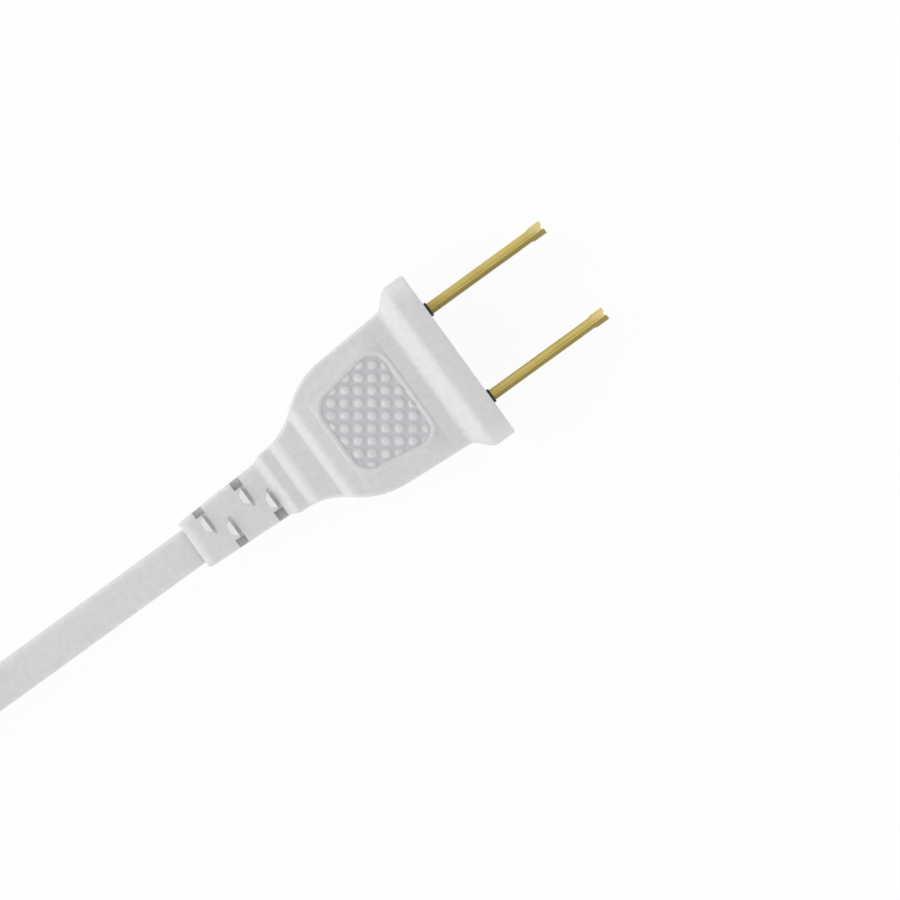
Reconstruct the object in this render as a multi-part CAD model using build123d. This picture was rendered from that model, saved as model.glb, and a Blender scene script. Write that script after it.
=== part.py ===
from build123d import *

import math
import os

# Extension lead: a moulded plug with two folded blades, a flat cord tied in a hank, and a moulded socket.
# Millimetres, +Z up. X runs along the plug's blades, and the broad faces of the plug look up and down.
# The origin is on the floor under the middle of the plug. Each moulded end is modelled about its own axis,
# with its front face at x = 0 looking along +X, and is then set in its place.

# Blades
BLADE_PITCH = 12.7
BLADE_LENGTH = 17.0
BLADE_WIDTH = 6.35
BLADE_THICKNESS = 1.4
BLADE_ROOT = 8.0
BLADE_TIP_CORNER = 1.4
BLADE_HOLE_DIAMETER = 3.2
BLADE_HOLE_FROM_FACE = 11.7
FOLD_RADIUS = 0.6
LEAF_EDGE_RADIUS = 0.45
LEAF_GROOVE_WIDTH = 0.1
LEAF_GROOVE_DEPTH = 0.2
SPLAY = 0.14
SPLAY_LENGTH = 2.1
SPLAY_RAMP = 0.5
TIP_NOTCH_DEPTH = 0.35
TIP_NOTCH_WIDTH = 0.7

# Crimps, strands and cores, alike at both ends
CRIMP_NECK_LENGTH = 1.5
CRIMP_NECK_WIDTH = 2.6
CRIMP_LENGTH = 4.0
CRIMP_WALL = 0.5
STRANDS_DIAMETER = 1.5
STRANDS_BEYOND_CRIMP = 1.2
CORE_DIAMETER = 1.9
CORE_PITCH = 2.1
CORE_STRAIGHT = 1.7
CORE_BEND_RADIUS = 3.5
CORE_END_STRAIGHT = 3.2

# Hard insert of the plug
INSERT_FROM_FACE = 1.5
INSERT_DEPTH = 5.0
INSERT_SIDE_WALL = 1.2
INSERT_HEIGHT = 8.6
INSERT_CORNER = 1.0
COLLAR_WALL = 0.2
COLLAR_PROUD = 0.35

# Flange and grip body of the plug
FLANGE_WIDTH = 23.0
FLANGE_HEIGHT = 14.5
FLANGE_THICKNESS = 3.25
FLANGE_CORNER = 3.0
FLANGE_FRONT_EDGE = 0.25
COVE_LENGTH = 2.25
COVE_ANGLE = 76.0
COVE_STEP = 0.2
BODY_WIDTH = 19.04
BODY_THICKNESS = 10.6
BODY_CORNER = 0.6
BODY_LENGTH = 20.7
BODY_TAPER = 3.8
BODY_ROLL_RADIUS = 1.3
SHOULDER_FROM_FACE = 14.0
SHOULDER_RADIUS = 10.8
SHOULDER_ANGLE = 41.0

# Textured grip panel on both broad faces of the plug
GRIP_FROM_FACE = 7.2
GRIP_LENGTH = 10.9
GRIP_FRONT_WIDTH = 14.2
GRIP_REAR_WIDTH = 10.6
GRIP_FRONT_CORNER = 2.2
GRIP_REAR_CORNER = 2.6
GRIP_DEPTH = 0.2
GRIP_RIM_WIDTH = 0.45
GRIP_RIM_HEIGHT = 0.15
GRIP_MARGIN = 1.2
BUMP_PITCH_ALONG = 1.63
BUMP_PITCH_ACROSS = 1.5
BUMP_TURN = -36.0
BUMP_WIDTH = 1.4
BUMP_TOP_WIDTH = 0.6
BUMP_HEIGHT = 0.3

# Neck, collar and strain relief, alike at both ends
NECK_THICKNESS = 9.0
NECK_LENGTH = 4.0
NECK_ROLL_RADIUS = 1.1
NECK_WIDTH = 8.5
COLLAR_THICKNESS = 7.4
COLLAR_LENGTH = 1.8
COLLAR_STEP_LENGTH = 0.8
RELIEF_LENGTH = 11.7
RELIEF_FRONT_WIDTH = 7.5
RELIEF_FRONT_THICKNESS = 6.0
RELIEF_END_WIDTH = 6.5
RELIEF_END_THICKNESS = 5.0
RELIEF_CORNER = 1.0
RELIEF_END_RADIUS = 0.8
NOTCH_WIDTH = 1.3
NOTCH_SLIT = 0.45
NOTCH_FIRST = 0.55
NOTCH_PITCH = 5.65
NOTCH_STAGGER = 2.3
NOTCH_PAST_MIDDLE = 1.0
NOTCH_WEB = 1.0
NOTCH_FLOOR = 0.3
NOTCHES_PER_SIDE = 2

# Flat cord
CORD_WIDTH = 4.8
CORD_THICKNESS = 3.0
SHEATH_IN_COLLAR = 0.5
FLOOR_CLEARANCE = 0.2
ARC_SHARE = 0.45

# Hank and its tie
HANK_TURNS = 7
HANK_RISE = 3.05
HANK_FOLD_RADIUS = 14.4
HANK_EYES_APART = 57.5
HANK_WAIST_RADIUS = 16.0
HANK_FROM_PLUG = 76.0
SOCKET_FROM_HANK = 74.5
HANK_WAIST_GAP = 0.1
HANK_EYE_CLEARANCE = 0.5
HANK_ENTRY_ANGLE = 28.0
HANK_ENTRY_LENGTH = 12.5
HANK_ENTRY_INSET = 0.2
TAIL_FALL = 11.5
TIE_WIDTH = 8.0
TIE_THICKNESS = 0.8
TIE_CORNER = 1.2
TIE_TAIL_LENGTH = 6.0

# Moulded socket
SOCKET_WIDTH = 22.6
SOCKET_HEIGHT = 14.5
SOCKET_CORNER = 2.4
SOCKET_FRONT_EDGE = 0.8
SOCKET_LENGTH = 32.0
SOCKET_TAPER = 2.0
SOCKET_ROLL_RADIUS = 3.2
SOCKET_SHOULDER_FROM_FACE = 23.3
SOCKET_SHOULDER_RADIUS = 11.0
SOCKET_SHOULDER_ANGLE = 48.0
CARRIER_DEPTH = 20.0
CARRIER_HEIGHT = 10.4
CARRIER_CORNER = 1.2
CARRIER_SIDE_WALL = 1.3
CARRIER_FRONT_WALL = 1.8
CARRIER_REAR_WALL = 1.4
CHAMBER_WIDTH = 4.2
CHAMBER_HEIGHT = 7.9
SLOT_CLEARANCE = 0.3
CONTACT_SHEET = 0.5
CONTACT_WIDTH = 6.0
CONTACT_GRIP = 0.1
CONTACT_BASE_WIDTH = 3.4
CONTACT_MOUTH_WIDTH = 3.6
CONTACT_MOUTH_LENGTH = 2.6
CONTACT_FROM_FRONT_WALL = 1.0


def section(x, width, height, corner):
    """A rounded rectangle across the axis at x."""
    plane = Plane(origin=(x, 0, 0), x_dir=(0, 1, 0), z_dir=(1, 0, 0))
    return plane * RectangleRounded(width, height, corner)


def block(x_front, x_rear, width, height, corner):
    """A bar of one rounded section along the axis."""
    return loft([section(x_front, width, height, corner), section(x_rear, width, height, corner)])


def box_between(low, high):
    """A box from its lowest to its highest corner."""
    size = [b - a for a, b in zip(low, high)]
    middle = [(a + b) / 2 for a, b in zip(low, high)]
    return Pos(*middle) * Box(*size)


def shares(count):
    """Evenly spaced shares from 0 to 1."""
    return [i / count for i in range(count + 1)]


class SideOutline:
    """Width of a moulded end along its axis: tapering sides, round shoulders and a hollow neck."""

    def __init__(self, front_x, front_width, taper, shoulder_x, shoulder_radius, shoulder_angle):
        self.front_x = front_x
        self.front_half = front_width / 2
        self.taper = math.radians(taper)
        self.shoulder_x = shoulder_x
        self.radius = shoulder_radius
        self.angle = math.radians(shoulder_angle)
        fall = shoulder_radius * (math.cos(self.taper) - math.cos(self.angle))
        self.hollow_half = self.tapered(shoulder_x) - fall
        self.hollow_x = shoulder_x - shoulder_radius * (math.sin(self.angle) - math.sin(self.taper))
        self.hollow_radius = (self.hollow_half - NECK_WIDTH / 2) / (1 - math.cos(self.angle))
        self.end_x = self.hollow_x - self.hollow_radius * math.sin(self.angle)

    def tapered(self, x):
        """Half-width of the straight tapering side."""
        return self.front_half - math.tan(self.taper) * (self.front_x - x)

    def width(self, x):
        """Full width at x."""
        if x >= self.shoulder_x:
            half = self.tapered(x)
        elif x >= self.hollow_x:
            sine = math.sin(self.taper) + (self.shoulder_x - x) / self.radius
            fall = self.radius * (math.cos(self.taper) - math.sqrt(1 - sine**2))
            half = self.tapered(self.shoulder_x) - fall
        elif x >= self.end_x:
            half = NECK_WIDTH / 2 + self.hollow_radius - math.sqrt(self.hollow_radius**2 - (x - self.end_x) ** 2)
        else:
            half = NECK_WIDTH / 2
        return 2 * half


def roll_length(radius, drop):
    """Length of a face that rolls down by drop on a radius, from level."""
    return math.sqrt(2 * radius * drop - drop**2)


def rolled_run(outline, x_start, x_end, thickness, end_thickness, roll_radius, corner):
    """A run of the body with level broad faces that roll down at its rear end."""
    drop = (thickness - end_thickness) / 2
    x_roll = x_end + roll_length(roll_radius, drop)
    level = [x_start + (x_roll - x_start) * share for share in shares(8)]
    run = loft([section(x, outline.width(x), thickness, corner) for x in level])
    end_angle = math.acos(1 - drop / roll_radius)
    stations = []
    for share in shares(4):
        x = x_roll - roll_radius * math.sin(end_angle * share)
        height = thickness - 2 * roll_radius * (1 - math.cos(end_angle * share))
        stations.append(section(x, outline.width(x), height, corner))
    return run + loft(stations)


def relief_size(x_front, x):
    """Width and thickness of the strain relief at x."""
    share = (x_front - x) / RELIEF_LENGTH
    width = RELIEF_FRONT_WIDTH + (RELIEF_END_WIDTH - RELIEF_FRONT_WIDTH) * share
    thickness = RELIEF_FRONT_THICKNESS + (RELIEF_END_THICKNESS - RELIEF_FRONT_THICKNESS) * share
    return width, thickness


def notch(x_front, x, side):
    """One notch in the upper face: a slit with a round end past the middle, and a pocket beside the cord."""
    width, above = relief_size(x_front, x)
    end_y = -side * NOTCH_PAST_MIDDLE
    round_y = end_y + side * NOTCH_SLIT / 2
    outer_y = side * width
    x_middle = x - NOTCH_SLIT / 2
    straight = Pos(x_middle, (outer_y + round_y) / 2) * Rectangle(NOTCH_SLIT, abs(outer_y - round_y))
    plan = straight + Pos(x_middle, round_y) * Circle(NOTCH_SLIT / 2)
    slit = Pos(0, 0, CORD_THICKNESS / 2 + NOTCH_FLOOR) * extrude(plan, above)
    low_y, high_y = sorted((side * CORD_WIDTH / 2, outer_y))
    pocket = box_between((x - NOTCH_WIDTH, low_y, NOTCH_WEB / 2), (x, high_y, above))
    return slit + pocket


def tail(outline, x_start):
    """Neck, collar and notched strain relief, from the step behind the body."""
    x_neck = x_start - NECK_LENGTH
    neck = rolled_run(
        outline, x_start, x_neck, NECK_THICKNESS, COLLAR_THICKNESS, NECK_ROLL_RADIUS, BODY_CORNER
    )
    x_collar = x_neck - COLLAR_LENGTH
    collar_at = [x_neck + (x_collar - x_neck) * share for share in shares(2)]
    collar = loft([section(x, outline.width(x), COLLAR_THICKNESS, BODY_CORNER) for x in collar_at])
    x_relief = x_collar - COLLAR_STEP_LENGTH
    relief_front = section(x_relief, RELIEF_FRONT_WIDTH, RELIEF_FRONT_THICKNESS, RELIEF_CORNER)
    step = loft([section(x_collar, outline.width(x_collar), COLLAR_THICKNESS, BODY_CORNER), relief_front])
    x_end = x_relief - RELIEF_LENGTH
    relief_end = section(x_end, RELIEF_END_WIDTH, RELIEF_END_THICKNESS, RELIEF_CORNER)
    relief = loft([relief_front, relief_end])
    relief = fillet(relief.faces().sort_by(Axis.X)[0].edges(), RELIEF_END_RADIUS)
    for side, stagger in ((-1, 0), (1, NOTCH_STAGGER)):
        for place in range(NOTCHES_PER_SIDE):
            cut = notch(x_relief, x_relief - NOTCH_FIRST - stagger - place * NOTCH_PITCH, side)
            relief -= cut
            relief -= mirror(cut, about=Plane.XY)
    return neck + collar + step + relief


def rear_length(step):
    """Length of a moulded end whose body steps down to its neck at step."""
    return step + NECK_LENGTH + COLLAR_LENGTH + COLLAR_STEP_LENGTH + RELIEF_LENGTH


def sheath_start(step):
    """Distance from the front face to the end of the cord's sheath, inside the collar."""
    return rear_length(step) - RELIEF_LENGTH - SHEATH_IN_COLLAR


def cord_face():
    """The flat cord's section, across the axis."""
    return Plane(origin=(0, 0, 0), x_dir=(0, 1, 0), z_dir=(1, 0, 0)) * SlotOverall(CORD_WIDTH, CORD_THICKNESS)


def rod(x_front, x_rear, y, diameter):
    """A round bar along the axis at y."""
    plane = Plane(origin=(x_rear, y, 0), x_dir=(0, 1, 0), z_dir=(1, 0, 0))
    return extrude(plane * Circle(diameter / 2), x_front - x_rear)


def crimp_barrel(x_front, y):
    """A crimp barrel closed round its strands."""
    x_rear = x_front - CRIMP_LENGTH
    outer = STRANDS_DIAMETER + 2 * CRIMP_WALL
    return rod(x_front, x_rear, y, outer) - rod(x_front, x_rear, y, STRANDS_DIAMETER)


def wires(x_barrel, sheath_x, side):
    """Bare strands in a crimp barrel, and the insulated core that runs from them to the sheath."""
    y = side * BLADE_PITCH / 2
    x_core = x_barrel - CRIMP_LENGTH - STRANDS_BEYOND_CRIMP
    strands = rod(x_barrel, x_core, y, STRANDS_DIAMETER)
    end_y = side * CORE_PITCH / 2
    route = [(x_core, y, 0), (x_core - CORE_STRAIGHT, y, 0)]
    route += [(sheath_x + CORE_END_STRAIGHT, end_y, 0), (sheath_x, end_y, 0)]
    path = FilletPolyline(*route, radius=CORE_BEND_RADIUS)
    start = Plane(origin=(x_core, y, 0), x_dir=(0, 1, 0), z_dir=(-1, 0, 0))
    core = sweep(start * Circle(CORE_DIAMETER / 2), path=path)
    return strands, core


def blade_section(x, splay):
    """A folded blade across the axis: the fold below, the two leaf edges above."""
    plane = Plane(origin=(x, 0, 0), x_dir=(0, 1, 0), z_dir=(1, 0, 0))
    flat = Rectangle(BLADE_THICKNESS + 2 * splay, BLADE_WIDTH)
    folded = fillet(flat.vertices().sort_by(Axis.Y)[:2], FOLD_RADIUS)
    return plane * fillet(folded.vertices().sort_by(Axis.Y)[-2:], LEAF_EDGE_RADIUS)


def blade(side):
    """A blade of folded sheet with splayed leaf tips, and the crimp barrel behind it."""
    x_splay = BLADE_LENGTH - SPLAY_LENGTH
    x_wide = x_splay + SPLAY_RAMP
    shank = loft([blade_section(-BLADE_ROOT, 0), blade_section(x_splay, 0)])
    ramp = loft([blade_section(x_splay, 0), blade_section(x_wide, SPLAY)])
    tip = loft([blade_section(x_wide, SPLAY), blade_section(BLADE_LENGTH, SPLAY)])
    long = shank + ramp + tip
    profile = Pos((BLADE_LENGTH - BLADE_ROOT) / 2, 0) * Rectangle(BLADE_LENGTH + BLADE_ROOT, BLADE_WIDTH)
    profile = fillet(profile.vertices().sort_by(Axis.X)[-2:], BLADE_TIP_CORNER)
    long &= extrude(Plane.XZ * profile, BLADE_THICKNESS, both=True)
    mouth = Polyline(
        (BLADE_LENGTH, TIP_NOTCH_WIDTH / 2),
        (BLADE_LENGTH, -TIP_NOTCH_WIDTH / 2),
        (BLADE_LENGTH - TIP_NOTCH_DEPTH, 0),
        close=True,
    )
    long -= extrude(make_face(mouth), BLADE_WIDTH, both=True)
    groove_floor = BLADE_WIDTH / 2 - LEAF_GROOVE_DEPTH
    long -= box_between(
        (-BLADE_ROOT, -LEAF_GROOVE_WIDTH / 2, groove_floor),
        (BLADE_LENGTH, LEAF_GROOVE_WIDTH / 2, BLADE_WIDTH),
    )
    hole = Plane.XZ * Pos(BLADE_HOLE_FROM_FACE, 0) * Circle(BLADE_HOLE_DIAMETER / 2)
    long -= extrude(hole, BLADE_THICKNESS, both=True)
    x_barrel = -BLADE_ROOT - CRIMP_NECK_LENGTH
    neck = box_between(
        (x_barrel, -BLADE_THICKNESS / 2, -CRIMP_NECK_WIDTH / 2),
        (-BLADE_ROOT, BLADE_THICKNESS / 2, CRIMP_NECK_WIDTH / 2),
    )
    y = side * BLADE_PITCH / 2
    return Pos(0, y, 0) * (long + neck) + crimp_barrel(x_barrel, y)


def plug_bridge(blades):
    """The hard bridge that holds both blades, with a thin collar round each blade root."""
    width = BODY_WIDTH - 2 * INSERT_SIDE_WALL
    bridge = block(-INSERT_FROM_FACE, -INSERT_FROM_FACE - INSERT_DEPTH, width, INSERT_HEIGHT, INSERT_CORNER)
    for side in (-1, 1):
        collar = block(
            COLLAR_PROUD,
            -INSERT_FROM_FACE,
            BLADE_THICKNESS + 2 * COLLAR_WALL,
            BLADE_WIDTH + 2 * COLLAR_WALL,
            COLLAR_WALL + LEAF_EDGE_RADIUS,
        )
        bridge += Pos(0, side * BLADE_PITCH / 2, 0) * collar
    for solid in blades:
        bridge -= solid
    return bridge


def grip_face():
    """Outline of the grip panel, seen from above."""
    front, rear = -GRIP_FROM_FACE, -GRIP_FROM_FACE - GRIP_LENGTH
    corners = [(front, GRIP_FRONT_WIDTH / 2), (rear, GRIP_REAR_WIDTH / 2)]
    corners += [(x, -y) for x, y in reversed(corners)]
    face = make_face(Polyline(*corners, close=True))
    face = fillet(face.vertices().sort_by(Axis.X)[-2:], GRIP_FRONT_CORNER)
    return fillet(face.vertices().sort_by(Axis.X)[:2], GRIP_REAR_CORNER)


def grip_bumps(panel):
    """Small blunt pyramids on a square grid turned across the panel, where they clear its edge."""
    foot = Rectangle(BUMP_WIDTH, BUMP_WIDTH)
    top = Pos(0, 0, BUMP_HEIGHT) * Rectangle(BUMP_TOP_WIDTH, BUMP_TOP_WIDTH)
    bump = loft([foot, top], ruled=True)
    inner = offset(panel, -GRIP_MARGIN).face()
    reach = math.hypot(GRIP_LENGTH, GRIP_FRONT_WIDTH) / 2
    rows = int(reach / BUMP_PITCH_ALONG) + 1
    columns = int(reach / BUMP_PITCH_ACROSS) + 1
    grid = Pos(-GRIP_FROM_FACE - GRIP_LENGTH / 2, 0) * Rot(0, 0, BUMP_TURN)
    bumps = []
    for row in range(-rows, rows + 1):
        for column in range(-columns, columns + 1):
            place = grid * Pos(row * BUMP_PITCH_ALONG, column * BUMP_PITCH_ACROSS)
            if inner.is_inside(place.position):
                bumps.append(place * bump)
    return bumps


def plug_moulding(inner_pieces):
    """The soft overmoulding: flange, cove, grip body, neck, collar and strain relief in one piece."""
    flange = block(0, -FLANGE_THICKNESS, FLANGE_WIDTH, FLANGE_HEIGHT, FLANGE_CORNER)
    flange = fillet(flange.faces().sort_by(Axis.X)[-1].edges(), FLANGE_FRONT_EDGE)
    x_cove = -FLANGE_THICKNESS - COVE_LENGTH
    outline = SideOutline(
        x_cove, BODY_WIDTH, BODY_TAPER, -SHOULDER_FROM_FACE, SHOULDER_RADIUS, SHOULDER_ANGLE
    )
    cove = []
    sweep = math.radians(COVE_ANGLE)
    rise_y = FLANGE_WIDTH - 2 * COVE_STEP - outline.width(-FLANGE_THICKNESS)
    rise_z = FLANGE_HEIGHT - 2 * COVE_STEP - BODY_THICKNESS
    rise_corner = FLANGE_CORNER - COVE_STEP - BODY_CORNER
    for share in shares(4):
        x = x_cove + COVE_LENGTH * math.sin(sweep * share) / math.sin(sweep)
        rise = (1 - math.cos(sweep * share)) / (1 - math.cos(sweep))
        cove.append(
            section(
                x,
                outline.width(x) + rise * rise_y,
                BODY_THICKNESS + rise * rise_z,
                BODY_CORNER + rise * rise_corner,
            )
        )
    body = rolled_run(
        outline, x_cove, -BODY_LENGTH, BODY_THICKNESS, NECK_THICKNESS, BODY_ROLL_RADIUS, BODY_CORNER
    )
    moulding = flange + loft(cove) + body + tail(outline, -BODY_LENGTH)
    panel = grip_face()
    top = BODY_THICKNESS / 2
    pocket = Pos(0, 0, top - GRIP_DEPTH) * extrude(panel, 2 * GRIP_DEPTH)
    rim = Pos(0, 0, top) * extrude(offset(panel, GRIP_RIM_WIDTH) - panel, GRIP_RIM_HEIGHT)
    bumps = [Pos(0, 0, top - GRIP_DEPTH) * bump for bump in grip_bumps(panel)]
    for turn in (0, 180):
        moulding -= Rot(turn, 0, 0) * pocket
        moulding += Rot(turn, 0, 0) * rim
        moulding += [Rot(turn, 0, 0) * bump for bump in bumps]
    for solid in inner_pieces:
        moulding -= solid
    return moulding


def contact(side):
    """A spring contact of folded sheet: two leaves that grip a blade, a base, and a crimp barrel."""
    x_base = -CARRIER_DEPTH + CARRIER_REAR_WALL
    x_mouth = -CARRIER_FRONT_WALL - CONTACT_FROM_FRONT_WALL
    x_grip = x_mouth - CONTACT_MOUTH_LENGTH
    gap = BLADE_THICKNESS / 2 - CONTACT_GRIP
    base = CONTACT_BASE_WIDTH / 2 - CONTACT_SHEET
    mouth = CONTACT_MOUTH_WIDTH / 2 - CONTACT_SHEET
    inside = [(x_base + CONTACT_SHEET, base), (x_grip, gap), (x_mouth, mouth)]
    outside = [(x, y + CONTACT_SHEET) for x, y in reversed(inside)]
    half = [(x_base + CONTACT_SHEET, 0)] + inside + outside
    half += [(x_base, base + CONTACT_SHEET), (x_base, 0)]
    leaf = make_face(Polyline(*half, close=True))
    sheet = extrude(leaf + mirror(leaf, about=Plane.XZ), CONTACT_WIDTH / 2, both=True)
    x_barrel = -CARRIER_DEPTH - CRIMP_NECK_LENGTH
    neck = box_between(
        (x_barrel, -BLADE_THICKNESS / 2, -CRIMP_NECK_WIDTH / 2),
        (x_base, BLADE_THICKNESS / 2, CRIMP_NECK_WIDTH / 2),
    )
    y = side * BLADE_PITCH / 2
    return Pos(0, y, 0) * (sheet + neck) + crimp_barrel(x_barrel, y)


def contact_carrier(contacts):
    """The hard carrier behind the socket's face, with a slot and a chamber for each contact."""
    width = BLADE_PITCH + CHAMBER_WIDTH + 2 * CARRIER_SIDE_WALL
    carrier = block(0, -CARRIER_DEPTH, width, CARRIER_HEIGHT, CARRIER_CORNER)
    slot_width = BLADE_THICKNESS + 2 * SPLAY + 2 * SLOT_CLEARANCE
    slot_height = BLADE_WIDTH + 2 * SLOT_CLEARANCE
    for side in (-1, 1):
        y = side * BLADE_PITCH / 2
        carrier -= box_between(
            (-CARRIER_FRONT_WALL, y - slot_width / 2, -slot_height / 2),
            (CARRIER_FRONT_WALL, y + slot_width / 2, slot_height / 2),
        )
        carrier -= box_between(
            (-CARRIER_DEPTH + CARRIER_REAR_WALL, y - CHAMBER_WIDTH / 2, -CHAMBER_HEIGHT / 2),
            (-CARRIER_FRONT_WALL, y + CHAMBER_WIDTH / 2, CHAMBER_HEIGHT / 2),
        )
    for solid in contacts:
        carrier -= solid
    return carrier


def socket_moulding(inner_pieces):
    """The socket's soft overmoulding, with the same neck, collar and strain relief as the plug."""
    outline = SideOutline(
        0,
        SOCKET_WIDTH,
        SOCKET_TAPER,
        -SOCKET_SHOULDER_FROM_FACE,
        SOCKET_SHOULDER_RADIUS,
        SOCKET_SHOULDER_ANGLE,
    )
    body = rolled_run(
        outline, 0, -SOCKET_LENGTH, SOCKET_HEIGHT, NECK_THICKNESS, SOCKET_ROLL_RADIUS, SOCKET_CORNER
    )
    body = fillet(body.faces().sort_by(Axis.X)[-1].edges(), SOCKET_FRONT_EDGE)
    moulding = body + tail(outline, -SOCKET_LENGTH)
    cavity = block(
        0,
        -CARRIER_DEPTH,
        BLADE_PITCH + CHAMBER_WIDTH + 2 * CARRIER_SIDE_WALL,
        CARRIER_HEIGHT,
        CARRIER_CORNER,
    )
    moulding -= cavity
    for solid in inner_pieces:
        moulding -= solid
    return moulding


def arc_radii(route):
    """The largest arc that each corner of a route has room for."""
    radii = []
    for before, corner, after in zip(route, route[1:], route[2:]):
        into, out = Vector(*corner) - Vector(*before), Vector(*after) - Vector(*corner)
        half_turn = math.radians(into.get_angle(out)) / 2
        radii.append(ARC_SHARE * min(into.length, out.length) / math.tan(half_turn))
    return radii


def cord_tube(name, route):
    """The flat cord along a route of straight runs and tangent arcs."""
    radii = arc_radii(route)
    path = FilletPolyline(*route, radius=radii)
    first_run = Vector(*route[1]) - Vector(*route[0])
    start = Plane(origin=route[0], x_dir=Vector(0, 0, 1).cross(first_run), z_dir=first_run)
    face = start * SlotOverall(CORD_WIDTH, CORD_THICKNESS)
    tube = sweep(face, path=path)
    print(name, "radii", [round(radius, 1) for radius in radii])
    print(name, "length", round(path.length, 1), "volume share", round(tube.volume / face.area / path.length, 4))
    return tube


def hank_entry(x_eye, heading, z, fall):
    """Point outside the hank from which the cord runs straight onto one of its eyes."""
    turn, slope = math.radians(HANK_ENTRY_ANGLE), math.radians(fall)
    radius = HANK_FOLD_RADIUS - HANK_ENTRY_INSET
    touching = Vector(x_eye - heading * radius * math.sin(turn), radius * math.cos(turn), z)
    along = Vector(heading * math.cos(turn) * math.cos(slope), math.sin(turn) * math.cos(slope), math.sin(slope))
    return tuple(touching - along * HANK_ENTRY_LENGTH)


def entry_stub(tube, end):
    """The straight stretch of cord from the end of a tube into the hank."""
    return extrude(tube.faces().sort_by_distance(Vector(*end))[0], HANK_ENTRY_LENGTH)


def hank_solid(x_near, x_far, height):
    """Outer shape of the hank: two eyes and a waist, with a seat for the tie under it."""
    x_middle = (x_near + x_far) / 2
    outer = HANK_FOLD_RADIUS + CORD_WIDTH / 2
    waist = 2 * CORD_WIDTH + HANK_WAIST_GAP
    ends = [Pos(x, 0) * Circle(outer) for x in (x_near, x_far)]
    plan = Pos(x_middle, 0) * Rectangle(x_near - x_far, waist) + ends
    hollows = [v for v in plan.vertices() if abs(abs(v.Y) - waist / 2) < HANK_WAIST_GAP]
    plan = fillet(hollows, HANK_WAIST_RADIUS - CORD_WIDTH / 2)
    eye = HANK_FOLD_RADIUS - CORD_WIDTH / 2 - HANK_EYE_CLEARANCE
    plan -= [Pos(x, 0) * Circle(eye) for x in (x_near, x_far)]
    seat = box_between(
        (x_middle - TIE_WIDTH / 2, -waist, 0), (x_middle + TIE_WIDTH / 2, waist, TIE_THICKNESS)
    )
    return extrude(plan, height) - seat


def tie_strap(x_middle, height):
    """The strap round the waist of the hank, with its tail lying on top."""
    waist = 2 * CORD_WIDTH + HANK_WAIST_GAP
    outer_width = waist + 2 * TIE_THICKNESS
    outer_height = height + TIE_THICKNESS
    x_front = x_middle + TIE_WIDTH / 2
    x_rear = x_middle - TIE_WIDTH / 2
    strap = Pos(0, 0, outer_height / 2) * block(x_front, x_rear, outer_width, outer_height, TIE_CORNER)
    strap -= box_between((x_rear, -waist / 2, TIE_THICKNESS), (x_front, waist / 2, height))
    strap_tail = box_between(
        (x_rear, -TIE_TAIL_LENGTH / 2, outer_height),
        (x_front, TIE_TAIL_LENGTH / 2, outer_height + TIE_THICKNESS),
    )
    return strap + strap_tail


# Places of the two ends and of the hank
PLUG_REAR = rear_length(BODY_LENGTH)
FACE_X = (PLUG_REAR - BLADE_LENGTH) / 2
PLUG_AXIS_Z = FLANGE_HEIGHT / 2
EXIT_X = FACE_X - PLUG_REAR
HANK_NEAR_X = EXIT_X - HANK_FROM_PLUG
HANK_FAR_X = HANK_NEAR_X - HANK_EYES_APART
FLOOR_Z = CORD_THICKNESS / 2 + FLOOR_CLEARANCE
HANK_TOP_Z = FLOOR_Z + HANK_TURNS * HANK_RISE
HANK_HEIGHT = HANK_TOP_Z + CORD_THICKNESS / 2 + TIE_THICKNESS
SOCKET_AXIS_Z = SOCKET_HEIGHT / 2

# The cord's routes outside the hank, each point past the one before it
LEAD_ROUTE = [
    (FACE_X - sheath_start(BODY_LENGTH), 0, PLUG_AXIS_Z),
    (EXIT_X - 11, 0, PLUG_AXIS_Z),
    (EXIT_X - 35, 0, 3.6),
    (EXIT_X - 47.4, 0.75, 1.9),
    hank_entry(HANK_NEAR_X, -1, FLOOR_Z, 0),
]
SOCKET_EXIT_X = HANK_FAR_X - SOCKET_FROM_HANK
SOCKET_FACE_X = SOCKET_EXIT_X - rear_length(SOCKET_LENGTH)
TAIL_ROUTE = [
    (SOCKET_FACE_X + sheath_start(SOCKET_LENGTH), 0, SOCKET_AXIS_Z),
    (SOCKET_EXIT_X + 11, 0, SOCKET_AXIS_Z),
    (SOCKET_EXIT_X + 34, 0.1, 13.8),
    (SOCKET_EXIT_X + 46.2, 1.0, 18.1),
    hank_entry(HANK_FAR_X, 1, HANK_TOP_Z, TAIL_FALL),
]

os.makedirs("parts", exist_ok=True)
plug_place = Pos(FACE_X, 0, PLUG_AXIS_Z)
socket_place = Pos(SOCKET_FACE_X, 0, SOCKET_AXIS_Z) * Rot(0, 0, 180)
nodes = {}

# Cord and hank
lead = cord_tube("lead", LEAD_ROUTE)
cord_end = cord_tube("tail", TAIL_ROUTE)
hank = hank_solid(HANK_NEAR_X, HANK_FAR_X, HANK_HEIGHT)
nodes["cord_lead"] = lead
nodes["cord_hank"] = hank + entry_stub(lead, LEAD_ROUTE[-1]) + entry_stub(cord_end, TAIL_ROUTE[-1])
nodes["cord_tail"] = cord_end
nodes["hank_tie"] = tie_strap((HANK_NEAR_X + HANK_FAR_X) / 2, HANK_HEIGHT)

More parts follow.
